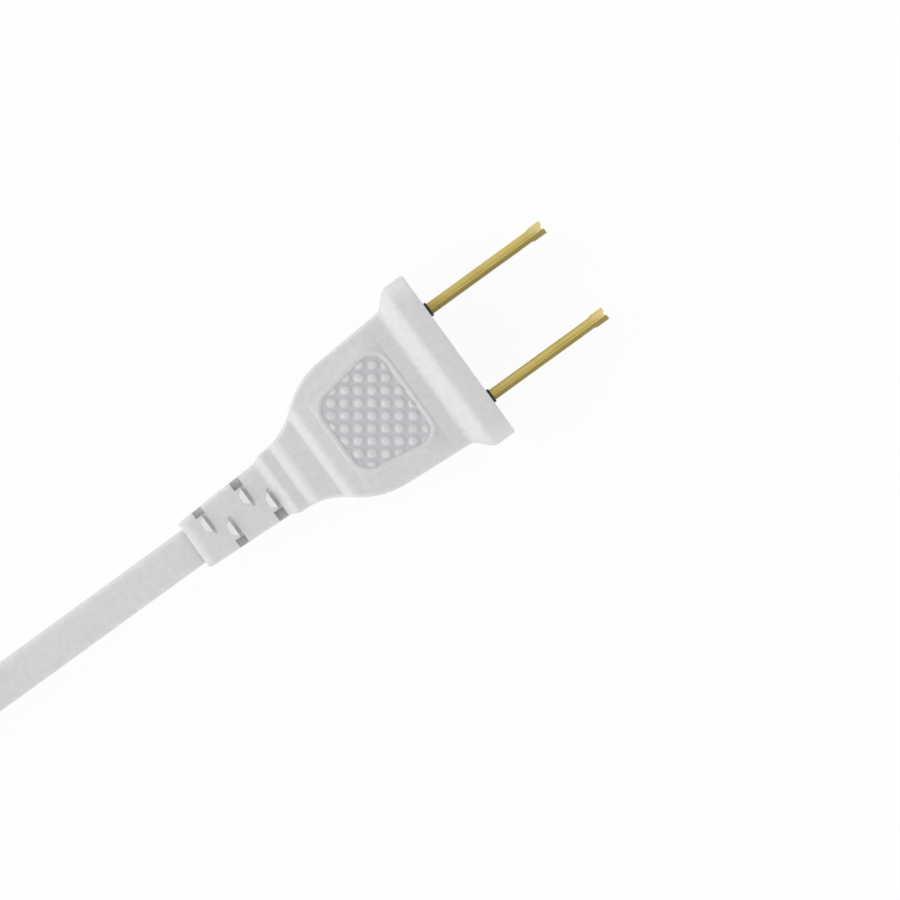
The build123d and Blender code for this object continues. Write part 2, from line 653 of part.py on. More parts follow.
# Plug
names = {1: "left", -1: "right"}
plug_inner = []
plug_blades = []
plug_sheath = -sheath_start(BODY_LENGTH)
for side, name in names.items():
    plug_blades.append(blade(side))
    nodes[f"plug_blade_{name}"] = plug_place * plug_blades[-1]
    strands, core = wires(-BLADE_ROOT - CRIMP_NECK_LENGTH, plug_sheath, side)
    nodes[f"plug_strands_{name}"] = plug_place * strands
    nodes[f"plug_core_{name}"] = plug_place * core
    plug_inner += [strands, core]
bridge = plug_bridge(plug_blades)
nodes["plug_insert"] = plug_place * bridge
plug_sheath_end = Pos(plug_sheath, 0, 0) * extrude(cord_face(), -PLUG_REAR)
nodes["plug_body"] = plug_place * plug_moulding(plug_inner + plug_blades + [bridge, plug_sheath_end])

# Socket
socket_inner = []
contacts = []
socket_sheath = -sheath_start(SOCKET_LENGTH)
for side, name in names.items():
    contacts.append(contact(side))
    nodes[f"socket_contact_{name}"] = socket_place * contacts[-1]
    strands, core = wires(-CARRIER_DEPTH - CRIMP_NECK_LENGTH, socket_sheath, side)
    nodes[f"socket_strands_{name}"] = socket_place * strands
    nodes[f"socket_core_{name}"] = socket_place * core
    socket_inner += [strands, core]
nodes["socket_insert"] = socket_place * contact_carrier(contacts)
socket_sheath_end = Pos(socket_sheath, 0, 0) * extrude(cord_face(), -PLUG_REAR)
nodes["socket_body"] = socket_place * socket_moulding(socket_inner + contacts + [socket_sheath_end])

for name, solid in nodes.items():
    export_step(solid, f"parts/{name}.step")
    print(name, len(solid.solids()), round(solid.volume, 2))
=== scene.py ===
"""Extension lead: a moulded plug, a flat cord tied in a hank and a moulded socket, dressed for a studio."""

import logging
import math
from abc import ABC, abstractmethod
from dataclasses import dataclass
from enum import Enum
from typing import Callable, Sequence, Union

import bmesh
import bpy
from mathutils import Color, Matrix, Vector, noise


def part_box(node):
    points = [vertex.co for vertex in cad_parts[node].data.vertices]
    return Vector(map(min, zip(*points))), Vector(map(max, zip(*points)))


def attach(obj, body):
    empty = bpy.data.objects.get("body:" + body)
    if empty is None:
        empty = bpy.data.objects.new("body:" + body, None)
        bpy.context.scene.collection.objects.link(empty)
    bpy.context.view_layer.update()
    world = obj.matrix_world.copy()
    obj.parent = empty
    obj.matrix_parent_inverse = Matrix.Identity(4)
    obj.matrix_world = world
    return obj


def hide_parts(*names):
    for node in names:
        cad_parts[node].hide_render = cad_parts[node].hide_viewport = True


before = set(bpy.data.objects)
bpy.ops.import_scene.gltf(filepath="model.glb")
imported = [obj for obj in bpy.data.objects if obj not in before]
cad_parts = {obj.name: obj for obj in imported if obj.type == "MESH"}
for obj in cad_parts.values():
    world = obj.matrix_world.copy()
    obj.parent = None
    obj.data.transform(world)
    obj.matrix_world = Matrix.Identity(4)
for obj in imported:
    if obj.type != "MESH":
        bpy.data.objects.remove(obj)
log = logging.getLogger("extension_lead")

BODY = "root"
SCREEN_WHITE = 255
NOISE_MIDDLE = 0.5
Span = tuple[float, float]
Point = tuple[float, float, float]
Colour = tuple[float, float, float]
WHITE: Colour = (1.0, 1.0, 1.0)
UNTURNED: Point = (0.0, 0.0, 0.0)
FULL_SIZE: Point = (1.0, 1.0, 1.0)


class Cut(Enum):
    """How a tool changes the mesh that it is applied to."""

    AWAY = "DIFFERENCE"
    ONTO = "UNION"
    WITHIN = "INTERSECT"


class Part(Enum):
    """Parts of a mesh that are selected one by one."""

    EDGE = "EDGE"
    FACE = "FACE"


class Slot(Enum):
    """Material slots of the record."""

    GREY_VINYL = "grey_vinyl"
    CORD_VINYL = "cord_vinyl"
    BLACK_RESIN = "black_resin"
    PALE_RESIN = "pale_resin"
    BLADE_BRASS = "blade_brass"
    COPPER = "copper"
    CORE_VINYL = "core_vinyl"
    TIE_RUBBER = "tie_rubber"


def clamped(share: float) -> float:
    """A share, kept from 0 to 1."""
    return min(max(share, 0.0), 1.0)


def eased(share: float) -> float:
    """A share that leaves 0 and reaches 1 softly."""
    return share * share * (3 - 2 * share)


def between(first: float, second: float, share: float) -> float:
    """The value at a share of the way from a first value to a second."""
    return first + (second - first) * share


def between_sizes(first: Span, second: Span, share: float) -> Span:
    """The width and height at a share of the way from a first size to a second."""
    return between(first[0], second[0], share), between(first[1], second[1], share)


def quarter_turn(share: float) -> Span:
    """Sine and cosine at a share of a quarter turn."""
    angle = math.radians(90.0 * share)
    return math.sin(angle), math.cos(angle)


def opaque(colour: Colour, level: float = 1.0) -> tuple[float, float, float, float]:
    """A colour with alpha, at a level of its brightness."""
    return (colour[0] * level, colour[1] * level, colour[2] * level, 1.0)


def linear(*channels: int) -> Colour:
    """A screen colour, with channels of 0 to 255, as linear light."""
    light = Color([channel / SCREEN_WHITE for channel in channels]).from_srgb_to_scene_linear()
    return (light.r, light.g, light.b)


def pair(stem: str) -> tuple[str, str]:
    """The names of a left and a right node."""
    return (stem + "_left", stem + "_right")


class Value:
    """An output socket of a shader, with arithmetic that adds Math nodes."""

    def __init__(self, tree: "ShaderTree", socket: bpy.types.NodeSocket) -> None:
        """Keep the socket and the tree that it belongs to."""
        self.tree = tree
        self.socket = socket

    def _maths(self, operation: str, first: "Input", second: "Input") -> "Value":
        """One Math node on two values."""
        node = self.tree.add("ShaderNodeMath", {"operation": operation}, {0: first, 1: second})
        return Value(self.tree, node.outputs[0])

    def __add__(self, other: "Input") -> "Value":
        """This value plus another."""
        return self._maths("ADD", self, other)

    def __radd__(self, other: "Input") -> "Value":
        """Another value plus this one."""
        return self._maths("ADD", other, self)

    def __sub__(self, other: "Input") -> "Value":
        """This value less another."""
        return self._maths("SUBTRACT", self, other)

    def __rsub__(self, other: "Input") -> "Value":
        """Another value less this one."""
        return self._maths("SUBTRACT", other, self)

    def __mul__(self, other: "Input") -> "Value":
        """This value times another."""
        return self._maths("MULTIPLY", self, other)

    def __rmul__(self, other: "Input") -> "Value":
        """Another value times this one."""
        return self._maths("MULTIPLY", other, self)

    def __mod__(self, other: "Input") -> "Value":
        """What is left of this value after whole steps of another."""
        return self._maths("FLOORED_MODULO", self, other)

    def __pow__(self, other: "Input") -> "Value":
        """This value to a power."""
        return self._maths("POWER", self, other)

    def __abs__(self) -> "Value":
        """This value without its sign."""
        return self._maths("ABSOLUTE", self, 0.0)

    def wave(self) -> "Value":
        """A sine wave along this value, from 0 to 1."""
        return self._maths("SINE", self, 0.0) * 0.5 + 0.5

    def about(self, level: float, spread: float) -> "Value":
        """A level that this noise moves up and down within a spread."""
        return level + spread * (self - NOISE_MIDDLE)

    def ramp(self, low: float, high: float) -> "Value":
        """A soft step from 0 to 1.

        Args:
            low: Value at which the step starts.
            high: Value at which the step ends.

        Returns:
            The step.
        """
        settings = {"interpolation_type": "SMOOTHSTEP", "clamp": True}
        inputs = {"Value": self, "From Min": low, "From Max": high}
        return Value(self.tree, self.tree.add("ShaderNodeMapRange", settings, inputs).outputs[0])


Input = Union[Value, float, Sequence[float]]


class ShaderTree:
    """The node tree of one material, or of the world."""

    def __init__(self, owner: Union[bpy.types.Material, bpy.types.World]) -> None:
        """Start an empty tree.

        Args:
            owner: Material that the tree belongs to, or the world.
        """
        self.owner = owner
        owner.use_nodes = True
        self.nodes = owner.node_tree.nodes
        self.links = owner.node_tree.links
        self.nodes.clear()

    @classmethod
    def new(cls, name: str) -> "ShaderTree":
        """The empty tree of a new material of that name."""
        return cls(bpy.data.materials.new(name))

    def add(
        self, kind: str, settings: dict[str, object], inputs: dict[Union[int, str], Input]
    ) -> bpy.types.Node:
        """Add one node.

        Args:
            kind: The node's type.
            settings: Properties that are set before the sockets.
            inputs: Values or links of its input sockets, by name or place.

        Returns:
            The new node.
        """
        node = self.nodes.new(kind)
        for name, setting in settings.items():
            setattr(node, name, setting)
        for name, value in inputs.items():
            if isinstance(value, Value):
                self.links.new(value.socket, node.inputs[name])
            else:
                node.inputs[name].default_value = value
        return node

    def output(self, node: bpy.types.Node, name: Union[int, str] = 0) -> Value:
        """One output of a node, which is its first if no other is named."""
        return Value(self, node.outputs[name])

    def seen(self) -> Value:
        """The rays that show the background as it is.

        Returns:
            1 for the camera, for a reflection and through clear material, and 0 for scattered light.
        """
        rays = self.add("ShaderNodeLightPath", {}, {})
        straight = self.output(rays, "Is Camera Ray") + self.output(rays, "Is Glossy Ray")
        return straight + self.output(rays, "Is Transmission Ray")

    def place(self) -> Value:
        """The point on the object, in metres."""
        return self.output(self.add("ShaderNodeTexCoord", {}, {}), "Object")

    def axes(self) -> tuple[Value, Value, Value]:
        """The three coordinates of the point on the object."""
        node = self.add("ShaderNodeSeparateXYZ", {}, {0: self.place()})
        return self.output(node, 0), self.output(node, 1), self.output(node, 2)

    def drawn_out(self, along: float) -> Value:
        """The point on the object, with a scale along X that draws a pattern out."""
        inputs = {"Vector": self.place(), "Scale": (along, 1.0, 1.0)}
        return self.output(self.add("ShaderNodeMapping", {"vector_type": "POINT"}, inputs))

    def noise(self, place: Value, scale: float, detail: float = 2.0) -> Value:
        """A noise of about 0 to 1, with so many cells in a metre and finer layers on them."""
        inputs = {"Vector": place, "Scale": scale, "Detail": detail}
        return self.output(self.add("ShaderNodeTexNoise", {}, inputs))

    def mix(self, share: Input, first: Input, second: Input) -> Value:
        """A colour between two colours.

        Args:
            share: Share of the second colour.
            first: Colour at share 0.
            second: Colour at share 1.

        Returns:
            The mixed colour.
        """
        settings = {"data_type": "RGBA", "clamp_factor": True}
        node = self.add("ShaderNodeMix", settings, {0: share, 6: first, 7: second})
        return self.output(node, 2)

    def bump(self, height: Value, depth: float, strength: float = 1.0) -> Value:
        """A normal bent by a height of 0 to 1, which is so many metres deep, at a strength."""
        inputs = {"Height": height, "Distance": depth, "Strength": strength}
        return self.output(self.add("ShaderNodeBump", {}, inputs))

    def show(self, kind: str, share: Value, shaders: Sequence[bpy.types.Node]) -> None:
        """Close the tree with a mix of two shaders.

        Args:
            kind: Type of the output node.
            share: Share of the second shader.
            shaders: The two shaders.
        """
        first, second = (self.output(shader) for shader in shaders)
        mixed = self.add("ShaderNodeMixShader", {}, {0: share, 1: first, 2: second})
        self.add(kind, {}, {"Surface": self.output(mixed)})

    def finish(self, **sockets: Input) -> bpy.types.Material:
        """Close the tree with a Principled shader.

        Args:
            sockets: The shader's sockets, with underscores for spaces.

        Returns:
            The finished material.
        """
        inputs = {name.replace("_", " "): value for name, value in sockets.items()}
        shader = self.add("ShaderNodeBsdfPrincipled", {}, inputs)
        self.add("ShaderNodeOutputMaterial", {}, {"Surface": self.output(shader)})
        return self.owner


class Finish(ABC):
    """A surface finish that makes its own material."""

    @abstractmethod
    def material(self, name: str) -> bpy.types.Material:
        """Make the material of this finish under a name."""


@dataclass(frozen=True)
class MouldedFinish(Finish):
    """Moulded plastic: soft mottling, a fine spark-eroded grain and a satin face."""

    colour: Colour
    mottling: float = 0.035
    mottle_scale: float = 1500.0
    mottle_detail: float = 3.0
    mottle_span: Span = (0.25, 0.75)
    grain_scale: float = 5200.0
    grain_depth: float = 0.000012
    roughness: float = 0.52
    roughness_spread: float = 0.12
    specular: float = 0.35

    def base(self, tree: ShaderTree) -> Value:
        """The mottled colour.

        Args:
            tree: Tree of the material.

        Returns:
            The colour.
        """
        mottle = tree.noise(tree.place(), self.mottle_scale, self.mottle_detail)
        low = opaque(self.colour, 1.0 - self.mottling)
        high = opaque(self.colour, 1.0 + self.mottling)
        return tree.mix(mottle.ramp(*self.mottle_span), low, high)

    def grain(self, tree: ShaderTree) -> Value:
        """The fine grain of the mould."""
        return tree.noise(tree.place(), self.grain_scale)

    def material(self, name: str) -> bpy.types.Material:
        """Make the plastic.

        Args:
            name: Name of the material.

        Returns:
            The material.
        """
        tree = ShaderTree.new(name)
        grain = self.grain(tree)
        return tree.finish(
            Base_Color=self.base(tree),
            Roughness=grain.about(self.roughness, self.roughness_spread),
            Normal=tree.bump(grain, self.grain_depth),
            Specular_IOR_Level=self.specular,
        )


@dataclass(frozen=True)
class GripFinish(MouldedFinish):
    """Moulded plastic of the plug, with painted shade, a cool grey, in the low valleys between the bumps of
    its grip panels.
    """

    # Painted shade: the cool grey that the valleys between the grip bumps are darkened to.
    valley_shade: Colour = (0.47, 0.47, 0.51)
    valley_shade_share: float = 0.6
    axis_z: float = 0.00725
    face: float = 0.0053
    sunk: Span = (0.00012, -0.00008)
    middle_x: float = -0.00165
    reach: Span = (0.0053, 0.0066)
    fade: float = 0.0004

    def base(self, tree: ShaderTree) -> Value:
        """The mottled colour, with the painted shade in the valleys.

        Args:
            tree: Tree of the material.

        Returns:
            The colour.
        """
        x, y, z = tree.axes()
        low, high = (self.face - sunk for sunk in self.sunk)
        # Painted shade: darkest where the surface lies lowest, on the panel floor between the bumps, and only
        # inside the panel.
        valley_shade_mask = self.valley_shade_share * (1.0 - abs(z - self.axis_z).ramp(low, high))
        for distance, reach in zip((abs(x - self.middle_x), abs(y)), self.reach):
            valley_shade_mask = valley_shade_mask * (1.0 - distance.ramp(reach - self.fade, reach))
        return tree.mix(valley_shade_mask, super().base(tree), opaque(self.valley_shade))


@dataclass(frozen=True)
class SheathFinish(MouldedFinish):
    """Drawn cord sheath: faint die lines along the cord over a satin vinyl."""

    mottle_scale: float = 1200.0
    mottle_detail: float = 2.0
    grain_scale: float = 900.0
    grain_depth: float = 0.00001
    roughness: float = 0.46
    roughness_spread: float = 0.14
    line_stretch: float = 0.06

    def grain(self, tree: ShaderTree) -> Value:
        """The die lines along the cord."""
        return tree.noise(tree.drawn_out(self.line_stretch), self.grain_scale)


@dataclass(frozen=True)
class MetalFinish(Finish):
    """Rolled sheet metal: fine brushing along the part, with a little tarnish."""

    colour: Colour
    tarnish: Colour
    metallic: float = 0.75
    tarnish_scale: float = 300.0
    tarnish_detail: float = 4.0
    tarnish_span: Span = (0.45, 0.75)
    tarnish_share: float = 0.35
    tarnish_roughness: float = 0.1
    brush_scale: float = 9000.0
    brush_stretch: float = 0.03
    brush_depth: float = 0.000004
    roughness: float = 0.34
    roughness_spread: float = 0.18

    def base(self, tree: ShaderTree, cloud: Value) -> Value:
        """The metal's colour, clouded with tarnish."""
        return tree.mix(self.tarnish_share * cloud, opaque(self.colour), opaque(self.tarnish))

    def material(self, name: str) -> bpy.types.Material:
        """Make the brushed metal.

        Args:
            name: Name of the material.

        Returns:
            The material.
        """
        tree = ShaderTree.new(name)
        cloud = tree.noise(tree.place(), self.tarnish_scale, self.tarnish_detail).ramp(*self.tarnish_span)
        brush = tree.noise(tree.drawn_out(self.brush_stretch), self.brush_scale)
        brushed = brush.about(self.roughness, self.roughness_spread)
        return tree.finish(
            Base_Color=self.base(tree, cloud),
            Roughness=brushed + self.tarnish_roughness * cloud,
            Normal=tree.bump(brush, self.brush_depth),
            Metallic=self.metallic,
        )


@dataclass(frozen=True)
class BladeFinish(MetalFinish):
    """Folded blade brass: the leaf on the -Y side of each blade is painted darker as painted shade, and the
    brass is paler towards the tips.
    """

    # Painted shade: the colour that the leaf on the -Y side of each blade is darkened to.
    leaf_shade: Colour = (0.24, 0.187, 0.046)
    paled_tips: Colour = (0.8, 0.66, 0.33)
    pitch: float = 0.0127
    leaf_edge: Span = (-0.0003, -0.00015)
    leaf_shade_share: float = 0.85
    tip_x: Span = (0.0255, 0.0275)
    tip_share: float = 0.6

    def base(self, tree: ShaderTree, cloud: Value) -> Value:
        """The brass, with painted shade on one leaf and paler tips.

        Args:
            tree: Tree of the material.
            cloud: Clouds of tarnish, from 0 to 1.

        Returns:
            The colour.
        """
        x, y, _ = tree.axes()
        across = y % self.pitch - self.pitch / 2
        # Painted shade: darker over the leaf on the -Y side of each blade.
        leaf = 1.0 - across.ramp(*self.leaf_edge)
        # The brass turns paler towards the tips.
        paled_tips = tree.mix(self.tip_share * x.ramp(*self.tip_x), super().base(tree, cloud), opaque(self.paled_tips))
        return tree.mix(self.leaf_shade_share * leaf, paled_tips, opaque(self.leaf_shade))


@dataclass(frozen=True)
class RubberFinish(Finish):
    """Matt rubber strap with fine cross ribs."""

    colour: Colour
    levels: Span = (0.85, 1.2)
    mottle_scale: float = 700.0
    mottle_detail: float = 3.0
    rib_scale: float = 3600.0
    rib_depth: float = 0.00005
    rib_strength: float = 0.5
    roughness: float = 0.78
    roughness_spread: float = 0.12
    specular: float = 0.3

    def material(self, name: str) -> bpy.types.Material:
        """Make the ribbed rubber.

        Args:
            name: Name of the material.

        Returns:
            The material.
        """
        tree = ShaderTree.new(name)
        mottle = tree.noise(tree.place(), self.mottle_scale, self.mottle_detail)
        ribs = (tree.axes()[0] * self.rib_scale).wave()
        low, high = (opaque(self.colour, level) for level in self.levels)
        return tree.finish(
            Base_Color=tree.mix(mottle, low, high),
            Roughness=mottle.about(self.roughness, self.roughness_spread),
            Normal=tree.bump(ribs, self.rib_depth, self.rib_strength),
            Specular_IOR_Level=self.specular,
        )


class Bench:
    """Modelling operators, on one object at a time."""

    CLOSE = 1e-7
    SPOILT_SHARE = 0.5

    @staticmethod
    def clear() -> None:
        """Leave edit mode and deselect every object."""
        if bpy.context.mode != "OBJECT":
            bpy.ops.object.mode_set(mode="OBJECT")
        bpy.ops.object.select_all(action="DESELECT")

    @staticmethod
    def pick(obj: bpy.types.Object) -> None:
        """Select one object alone and make it active.

        Args:
            obj: The object.
        """
        Bench.clear()
        obj.select_set(True)
        bpy.context.view_layer.objects.active = obj

    @staticmethod
    def edit(obj: bpy.types.Object, action: str = "DESELECT") -> None:
        """Open one object in edit mode, by vertices.

        Args:
            obj: The object.
            action: SELECT or DESELECT, for all of its mesh.
        """
        Bench.pick(obj)
        bpy.ops.object.mode_set(mode="EDIT")
        bpy.ops.mesh.select_mode(type="VERT")
        bpy.ops.mesh.select_all(action=action)

    @staticmethod
    def choose(obj: bpy.types.Object, wanted: Callable[[bmesh.types.BMVert], bool]) -> None:
        """Select the vertices that are wanted, with the edges and faces between them.

        Args:
            obj: Object that is open in edit mode.
            wanted: Says whether a vertex is wanted.
        """
        bpy.ops.mesh.select_all(action="DESELECT")
        mesh = bmesh.from_edit_mesh(obj.data)
        mesh.verts.index_update()
        for vertex in mesh.verts:
            if wanted(vertex):
                vertex.select_set(True)
        mesh.select_flush(True)
        bmesh.update_edit_mesh(obj.data)

    @staticmethod
    def choose_parts(obj: bpy.types.Object, kind: Part, wanted: Callable[..., bool]) -> None:
        """Select the edges or the faces that are wanted.

        Args:
            obj: Object that is open in edit mode.
            kind: Whether edges or faces are selected.
            wanted: Says whether an edge or a face is wanted.
        """
        bpy.ops.mesh.select_mode(type=kind.value)
        bpy.ops.mesh.select_all(action="DESELECT")
        mesh = bmesh.from_edit_mesh(obj.data)
        for part in mesh.edges if kind is Part.EDGE else mesh.faces:
            part.select_set(wanted(part))
        bmesh.update_edit_mesh(obj.data)

    @staticmethod
    def face_out() -> None:
        """Point every face of the mesh that is open outwards, and leave edit mode."""
        bpy.ops.mesh.select_all(action="SELECT")
        bpy.ops.mesh.normals_make_consistent(inside=False)
        Bench.clear()

    @staticmethod
    def settle(obj: bpy.types.Object) -> None:
        """Apply an object's place, turn and scale to its mesh."""
        Bench.pick(obj)
        bpy.ops.object.transform_apply(location=True, rotation=True, scale=True)

    @staticmethod
    def plane(width: float, depth: float, place: Point, turn: Point = UNTURNED) -> bpy.types.Object:
        """A flat rectangle with its place in its mesh.

        Args:
            width: Size along its own X.
            depth: Size along its own Y.
            place: Middle of the rectangle.
            turn: Turns about X, Y and Z, in degrees.

        Returns:
            The new object.
        """
        Bench.clear()
        turned = [math.radians(angle) for angle in turn]
        bpy.ops.mesh.primitive_plane_add(size=1.0, location=place, rotation=turned)
        obj = bpy.context.object
        obj.scale = (width, depth, 1.0)
        Bench.settle(obj)
        return obj

    @staticmethod
    def cube(low: Point, high: Point) -> bpy.types.Object:
        """A box with its place in its mesh.

        Args:
            low: Its lowest corner.
            high: Its highest corner.

        Returns:
            The new object.
        """
        Bench.clear()
        middle = [(a + b) / 2 for a, b in zip(low, high)]
        bpy.ops.mesh.primitive_cube_add(size=1.0, location=middle)
        obj = bpy.context.object
        obj.scale = [b - a for a, b in zip(low, high)]
        Bench.settle(obj)
        return obj

    @staticmethod
    def round_corners(
        obj: bpy.types.Object, reach: float, segments: int, wanted: Callable[[bmesh.types.BMVert], bool]
    ) -> None:
        """Round the corners of a flat outline.

        Args:
            obj: Flat mesh.
            reach: How far the rounding reaches along the edges.
            segments: Edges in each corner.
            wanted: Says which corners are rounded.
        """
        Bench.edit(obj)
        Bench.choose(obj, wanted)
        bpy.ops.mesh.bevel(offset=reach, segments=segments, affect="VERTICES", clamp_overlap=False)
        Bench.clear()

    @staticmethod
    def hollow(obj: bpy.types.Object) -> None:
        """Keep only the edges of a flat face.

        Args:
            obj: Flat mesh.
        """
        Bench.edit(obj, "SELECT")
        bpy.ops.mesh.delete(type="ONLY_FACE")
        Bench.clear()

    @staticmethod
    def extrude(obj: bpy.types.Object, along: Point) -> None:
        """Extrude a flat face into a closed solid.

        Args:
            obj: Flat mesh.
            along: Way from the face to the far end.
        """
        Bench.edit(obj, "SELECT")
        bpy.ops.mesh.extrude_region_move(TRANSFORM_OT_translate={"value": along})
        Bench.face_out()

    @staticmethod
    def join(objects: Sequence[bpy.types.Object]) -> bpy.types.Object:
        """Join objects to the first one, in order.

        Args:
            objects: The objects.

        Returns:
            The first object, which holds them all.
        """
        first, *others = objects
        for other in others:
            Bench.pick(first)
            other.select_set(True)
            bpy.ops.object.join()
        return first

    @staticmethod
    def modify(obj: bpy.types.Object, kind: str, **settings: object) -> None:
        """Add a modifier and apply it.

        Args:
            obj: Object that is changed.
            kind: Type of the modifier.
            settings: Its settings.
        """
        Bench.pick(obj)
        bpy.ops.object.modifier_add(type=kind)
        modifier = obj.modifiers[-1]
        for name, setting in settings.items():
            setattr(modifier, name, setting)
        bpy.ops.object.modifier_apply(modifier=modifier.name)

    @staticmethod
    def volume(obj: bpy.types.Object) -> float:
        """Volume inside a closed mesh.

        Args:
            obj: Object with the mesh.

        Returns:
            The volume, in cubic metres.
        """
        mesh = bmesh.new()
        mesh.from_mesh(obj.data)
        volume = mesh.calc_volume()
        mesh.free()
        return volume

    @staticmethod
    def combine(obj: bpy.types.Object, tools: Sequence[bpy.types.Object], cut: Cut) -> None:
        """Cut or join a mesh with tools, which are then removed; a mesh that this would spoil is kept.

        Args:
            obj: Object that is changed.
            tools: Closed meshes, which are joined to one tool.
            cut: What the tool does.
        """
        tool = Bench.join(tools)
        spare, volume = obj.data.copy(), Bench.volume(obj)
        Bench.modify(obj, "BOOLEAN", operation=cut.value, solver="EXACT", object=tool)
        if cut is not Cut.WITHIN and Bench.volume(obj) < volume * Bench.SPOILT_SHARE:
            log.warning("%s keeps its shape, because a cut failed", obj.name)
            spare, obj.data = obj.data, spare
        bpy.data.meshes.remove(spare)
        bpy.data.objects.remove(tool)

    @staticmethod
    def copy(obj: bpy.types.Object, turn: Point = UNTURNED, scale: Point = FULL_SIZE) -> bpy.types.Object:
        """A copy with its own mesh, turned and scaled about the origin.

        Args:
            obj: Object that is copied.
            turn: Turns about X, Y and Z, in degrees.
            scale: Scale along each axis.

        Returns:
            The copy.
        """
        Bench.pick(obj)
        bpy.ops.object.duplicate(linked=False)
        twin = bpy.context.object
        twin.rotation_euler = [math.radians(angle) for angle in turn]
        twin.scale = scale
        Bench.settle(twin)
        return twin

    @staticmethod
    def smooth(obj: bpy.types.Object, angle: float) -> None:
        """Shade smooth, with edges sharper than an angle in degrees kept crisp."""
        Bench.pick(obj)
        bpy.ops.object.shade_smooth_by_angle(angle=math.radians(angle))

    @staticmethod
    def dress(obj: bpy.types.Object, material: bpy.types.Material) -> None:
        """Give a mesh one material."""
        obj.data.materials.clear()
        obj.data.materials.append(material)


@dataclass(frozen=True)
class Section:
    """A rounded rectangle across the axis of a moulded end."""

    x: float
    width: float
    height: float
    corner: float

    SEGMENTS = 6
    SMALLEST_CORNER = 0.0002
    TURN = (90.0, 0.0, 90.0)

    def face(self) -> bpy.types.Object:
        """The section as a flat face.

        Returns:
            The face.
        """
        obj = Bench.plane(self.width, self.height, (self.x, 0.0, 0.0), self.TURN)
        Bench.round_corners(obj, self.corner, self.SEGMENTS, lambda vertex: True)
        return obj

    def loop(self) -> bpy.types.Object:
        """The section as a closed loop of edges.

        Returns:
            The loop.
        """
        obj = self.face()
        Bench.hollow(obj)
        return obj

    def bar(self, x_front: float) -> bpy.types.Object:
        """A bar of this section along the axis.

        Args:
            x_front: Where the bar ends.

        Returns:
            The bar.
        """
        obj = self.face()
        Bench.extrude(obj, (x_front - self.x, 0.0, 0.0))
        return obj

    def shrunk(self, x: float, inset: float) -> "Section":
        """The same section at another place, pulled in on every side."""
        corner = max(self.corner - inset, self.SMALLEST_CORNER)
        return Section(x, self.width - 2 * inset, self.height - 2 * inset, corner)


def loft(name: str, sections: Sequence[Section]) -> bpy.types.Object:
    """A closed mesh through sections.

    Args:
        name: Name of the new object.
        sections: Sections in order along the axis.

    Returns:
        The new object.
    """
    loops = [section.loop() for section in sections]
    around = len(loops[0].data.vertices)
    obj = Bench.join(loops)
    obj.name = name
    Bench.edit(obj)
    for place in range(1, len(sections)):
        low, high = (place - 1) * around, (place + 1) * around
        Bench.choose(obj, lambda vertex: low <= vertex.index < high)
        bpy.ops.mesh.bridge_edge_loops()
    for first in (0, (len(sections) - 1) * around):
        Bench.choose(obj, lambda vertex: first <= vertex.index < first + around)
        bpy.ops.mesh.edge_face_add()
    Bench.face_out()
    return obj


@dataclass(frozen=True)
class SideOutline:
    """Width of a moulded end along its axis: tapering sides, round shoulders and a hollow neck."""

    front_x: float
    front_width: float
    taper: float
    shoulder_x: float
    shoulder_radius: float
    shoulder_angle: float
    neck_width: float

    def tapered(self, x: float) -> float:
        """Half-width of the straight tapering side."""
        return self.front_width / 2 - math.tan(math.radians(self.taper)) * (self.front_x - x)

    def width(self, x: float) -> float:
        """Full width at x.

        Args:
            x: Place along the axis.

        Returns:
            The width from side to side.
        """
        taper, angle = math.radians(self.taper), math.radians(self.shoulder_angle)
        radius = self.shoulder_radius
        shoulder_half = self.tapered(self.shoulder_x)
        hollow_half = shoulder_half - radius * (math.cos(taper) - math.cos(angle))
        hollow_x = self.shoulder_x - radius * (math.sin(angle) - math.sin(taper))
        hollow_radius = (hollow_half - self.neck_width / 2) / (1 - math.cos(angle))
        end_x = hollow_x - hollow_radius * math.sin(angle)
        if x >= self.shoulder_x:
            return 2 * self.tapered(x)
        if x >= hollow_x:
            sine = math.sin(taper) + (self.shoulder_x - x) / radius
            return 2 * (shoulder_half - radius * (math.cos(taper) - math.sqrt(1 - sine**2)))
        if x >= end_x:
            rise = hollow_radius - math.sqrt(hollow_radius**2 - (x - end_x) ** 2)
            return self.neck_width + 2 * rise
        return self.neck_width


@dataclass(frozen=True)
class Roll:
    """A broad face that is level and then rolls down on a radius to an end."""

    x_end: float
    height: float
    end_height: float
    radius: float

    def at(self, x: float) -> float:
        """Height at x.

        Args:
            x: Place along the axis.

        Returns:
            The height from face to face.
        """
        drop = (self.height - self.end_height) / 2
        x_start = self.x_end + math.sqrt(2 * self.radius * drop - drop**2)
        if x >= x_start:
            return self.height
        if x <= self.x_end:
            return self.end_height
        return self.height - 2 * (self.radius - math.sqrt(self.radius**2 - (x_start - x) ** 2))


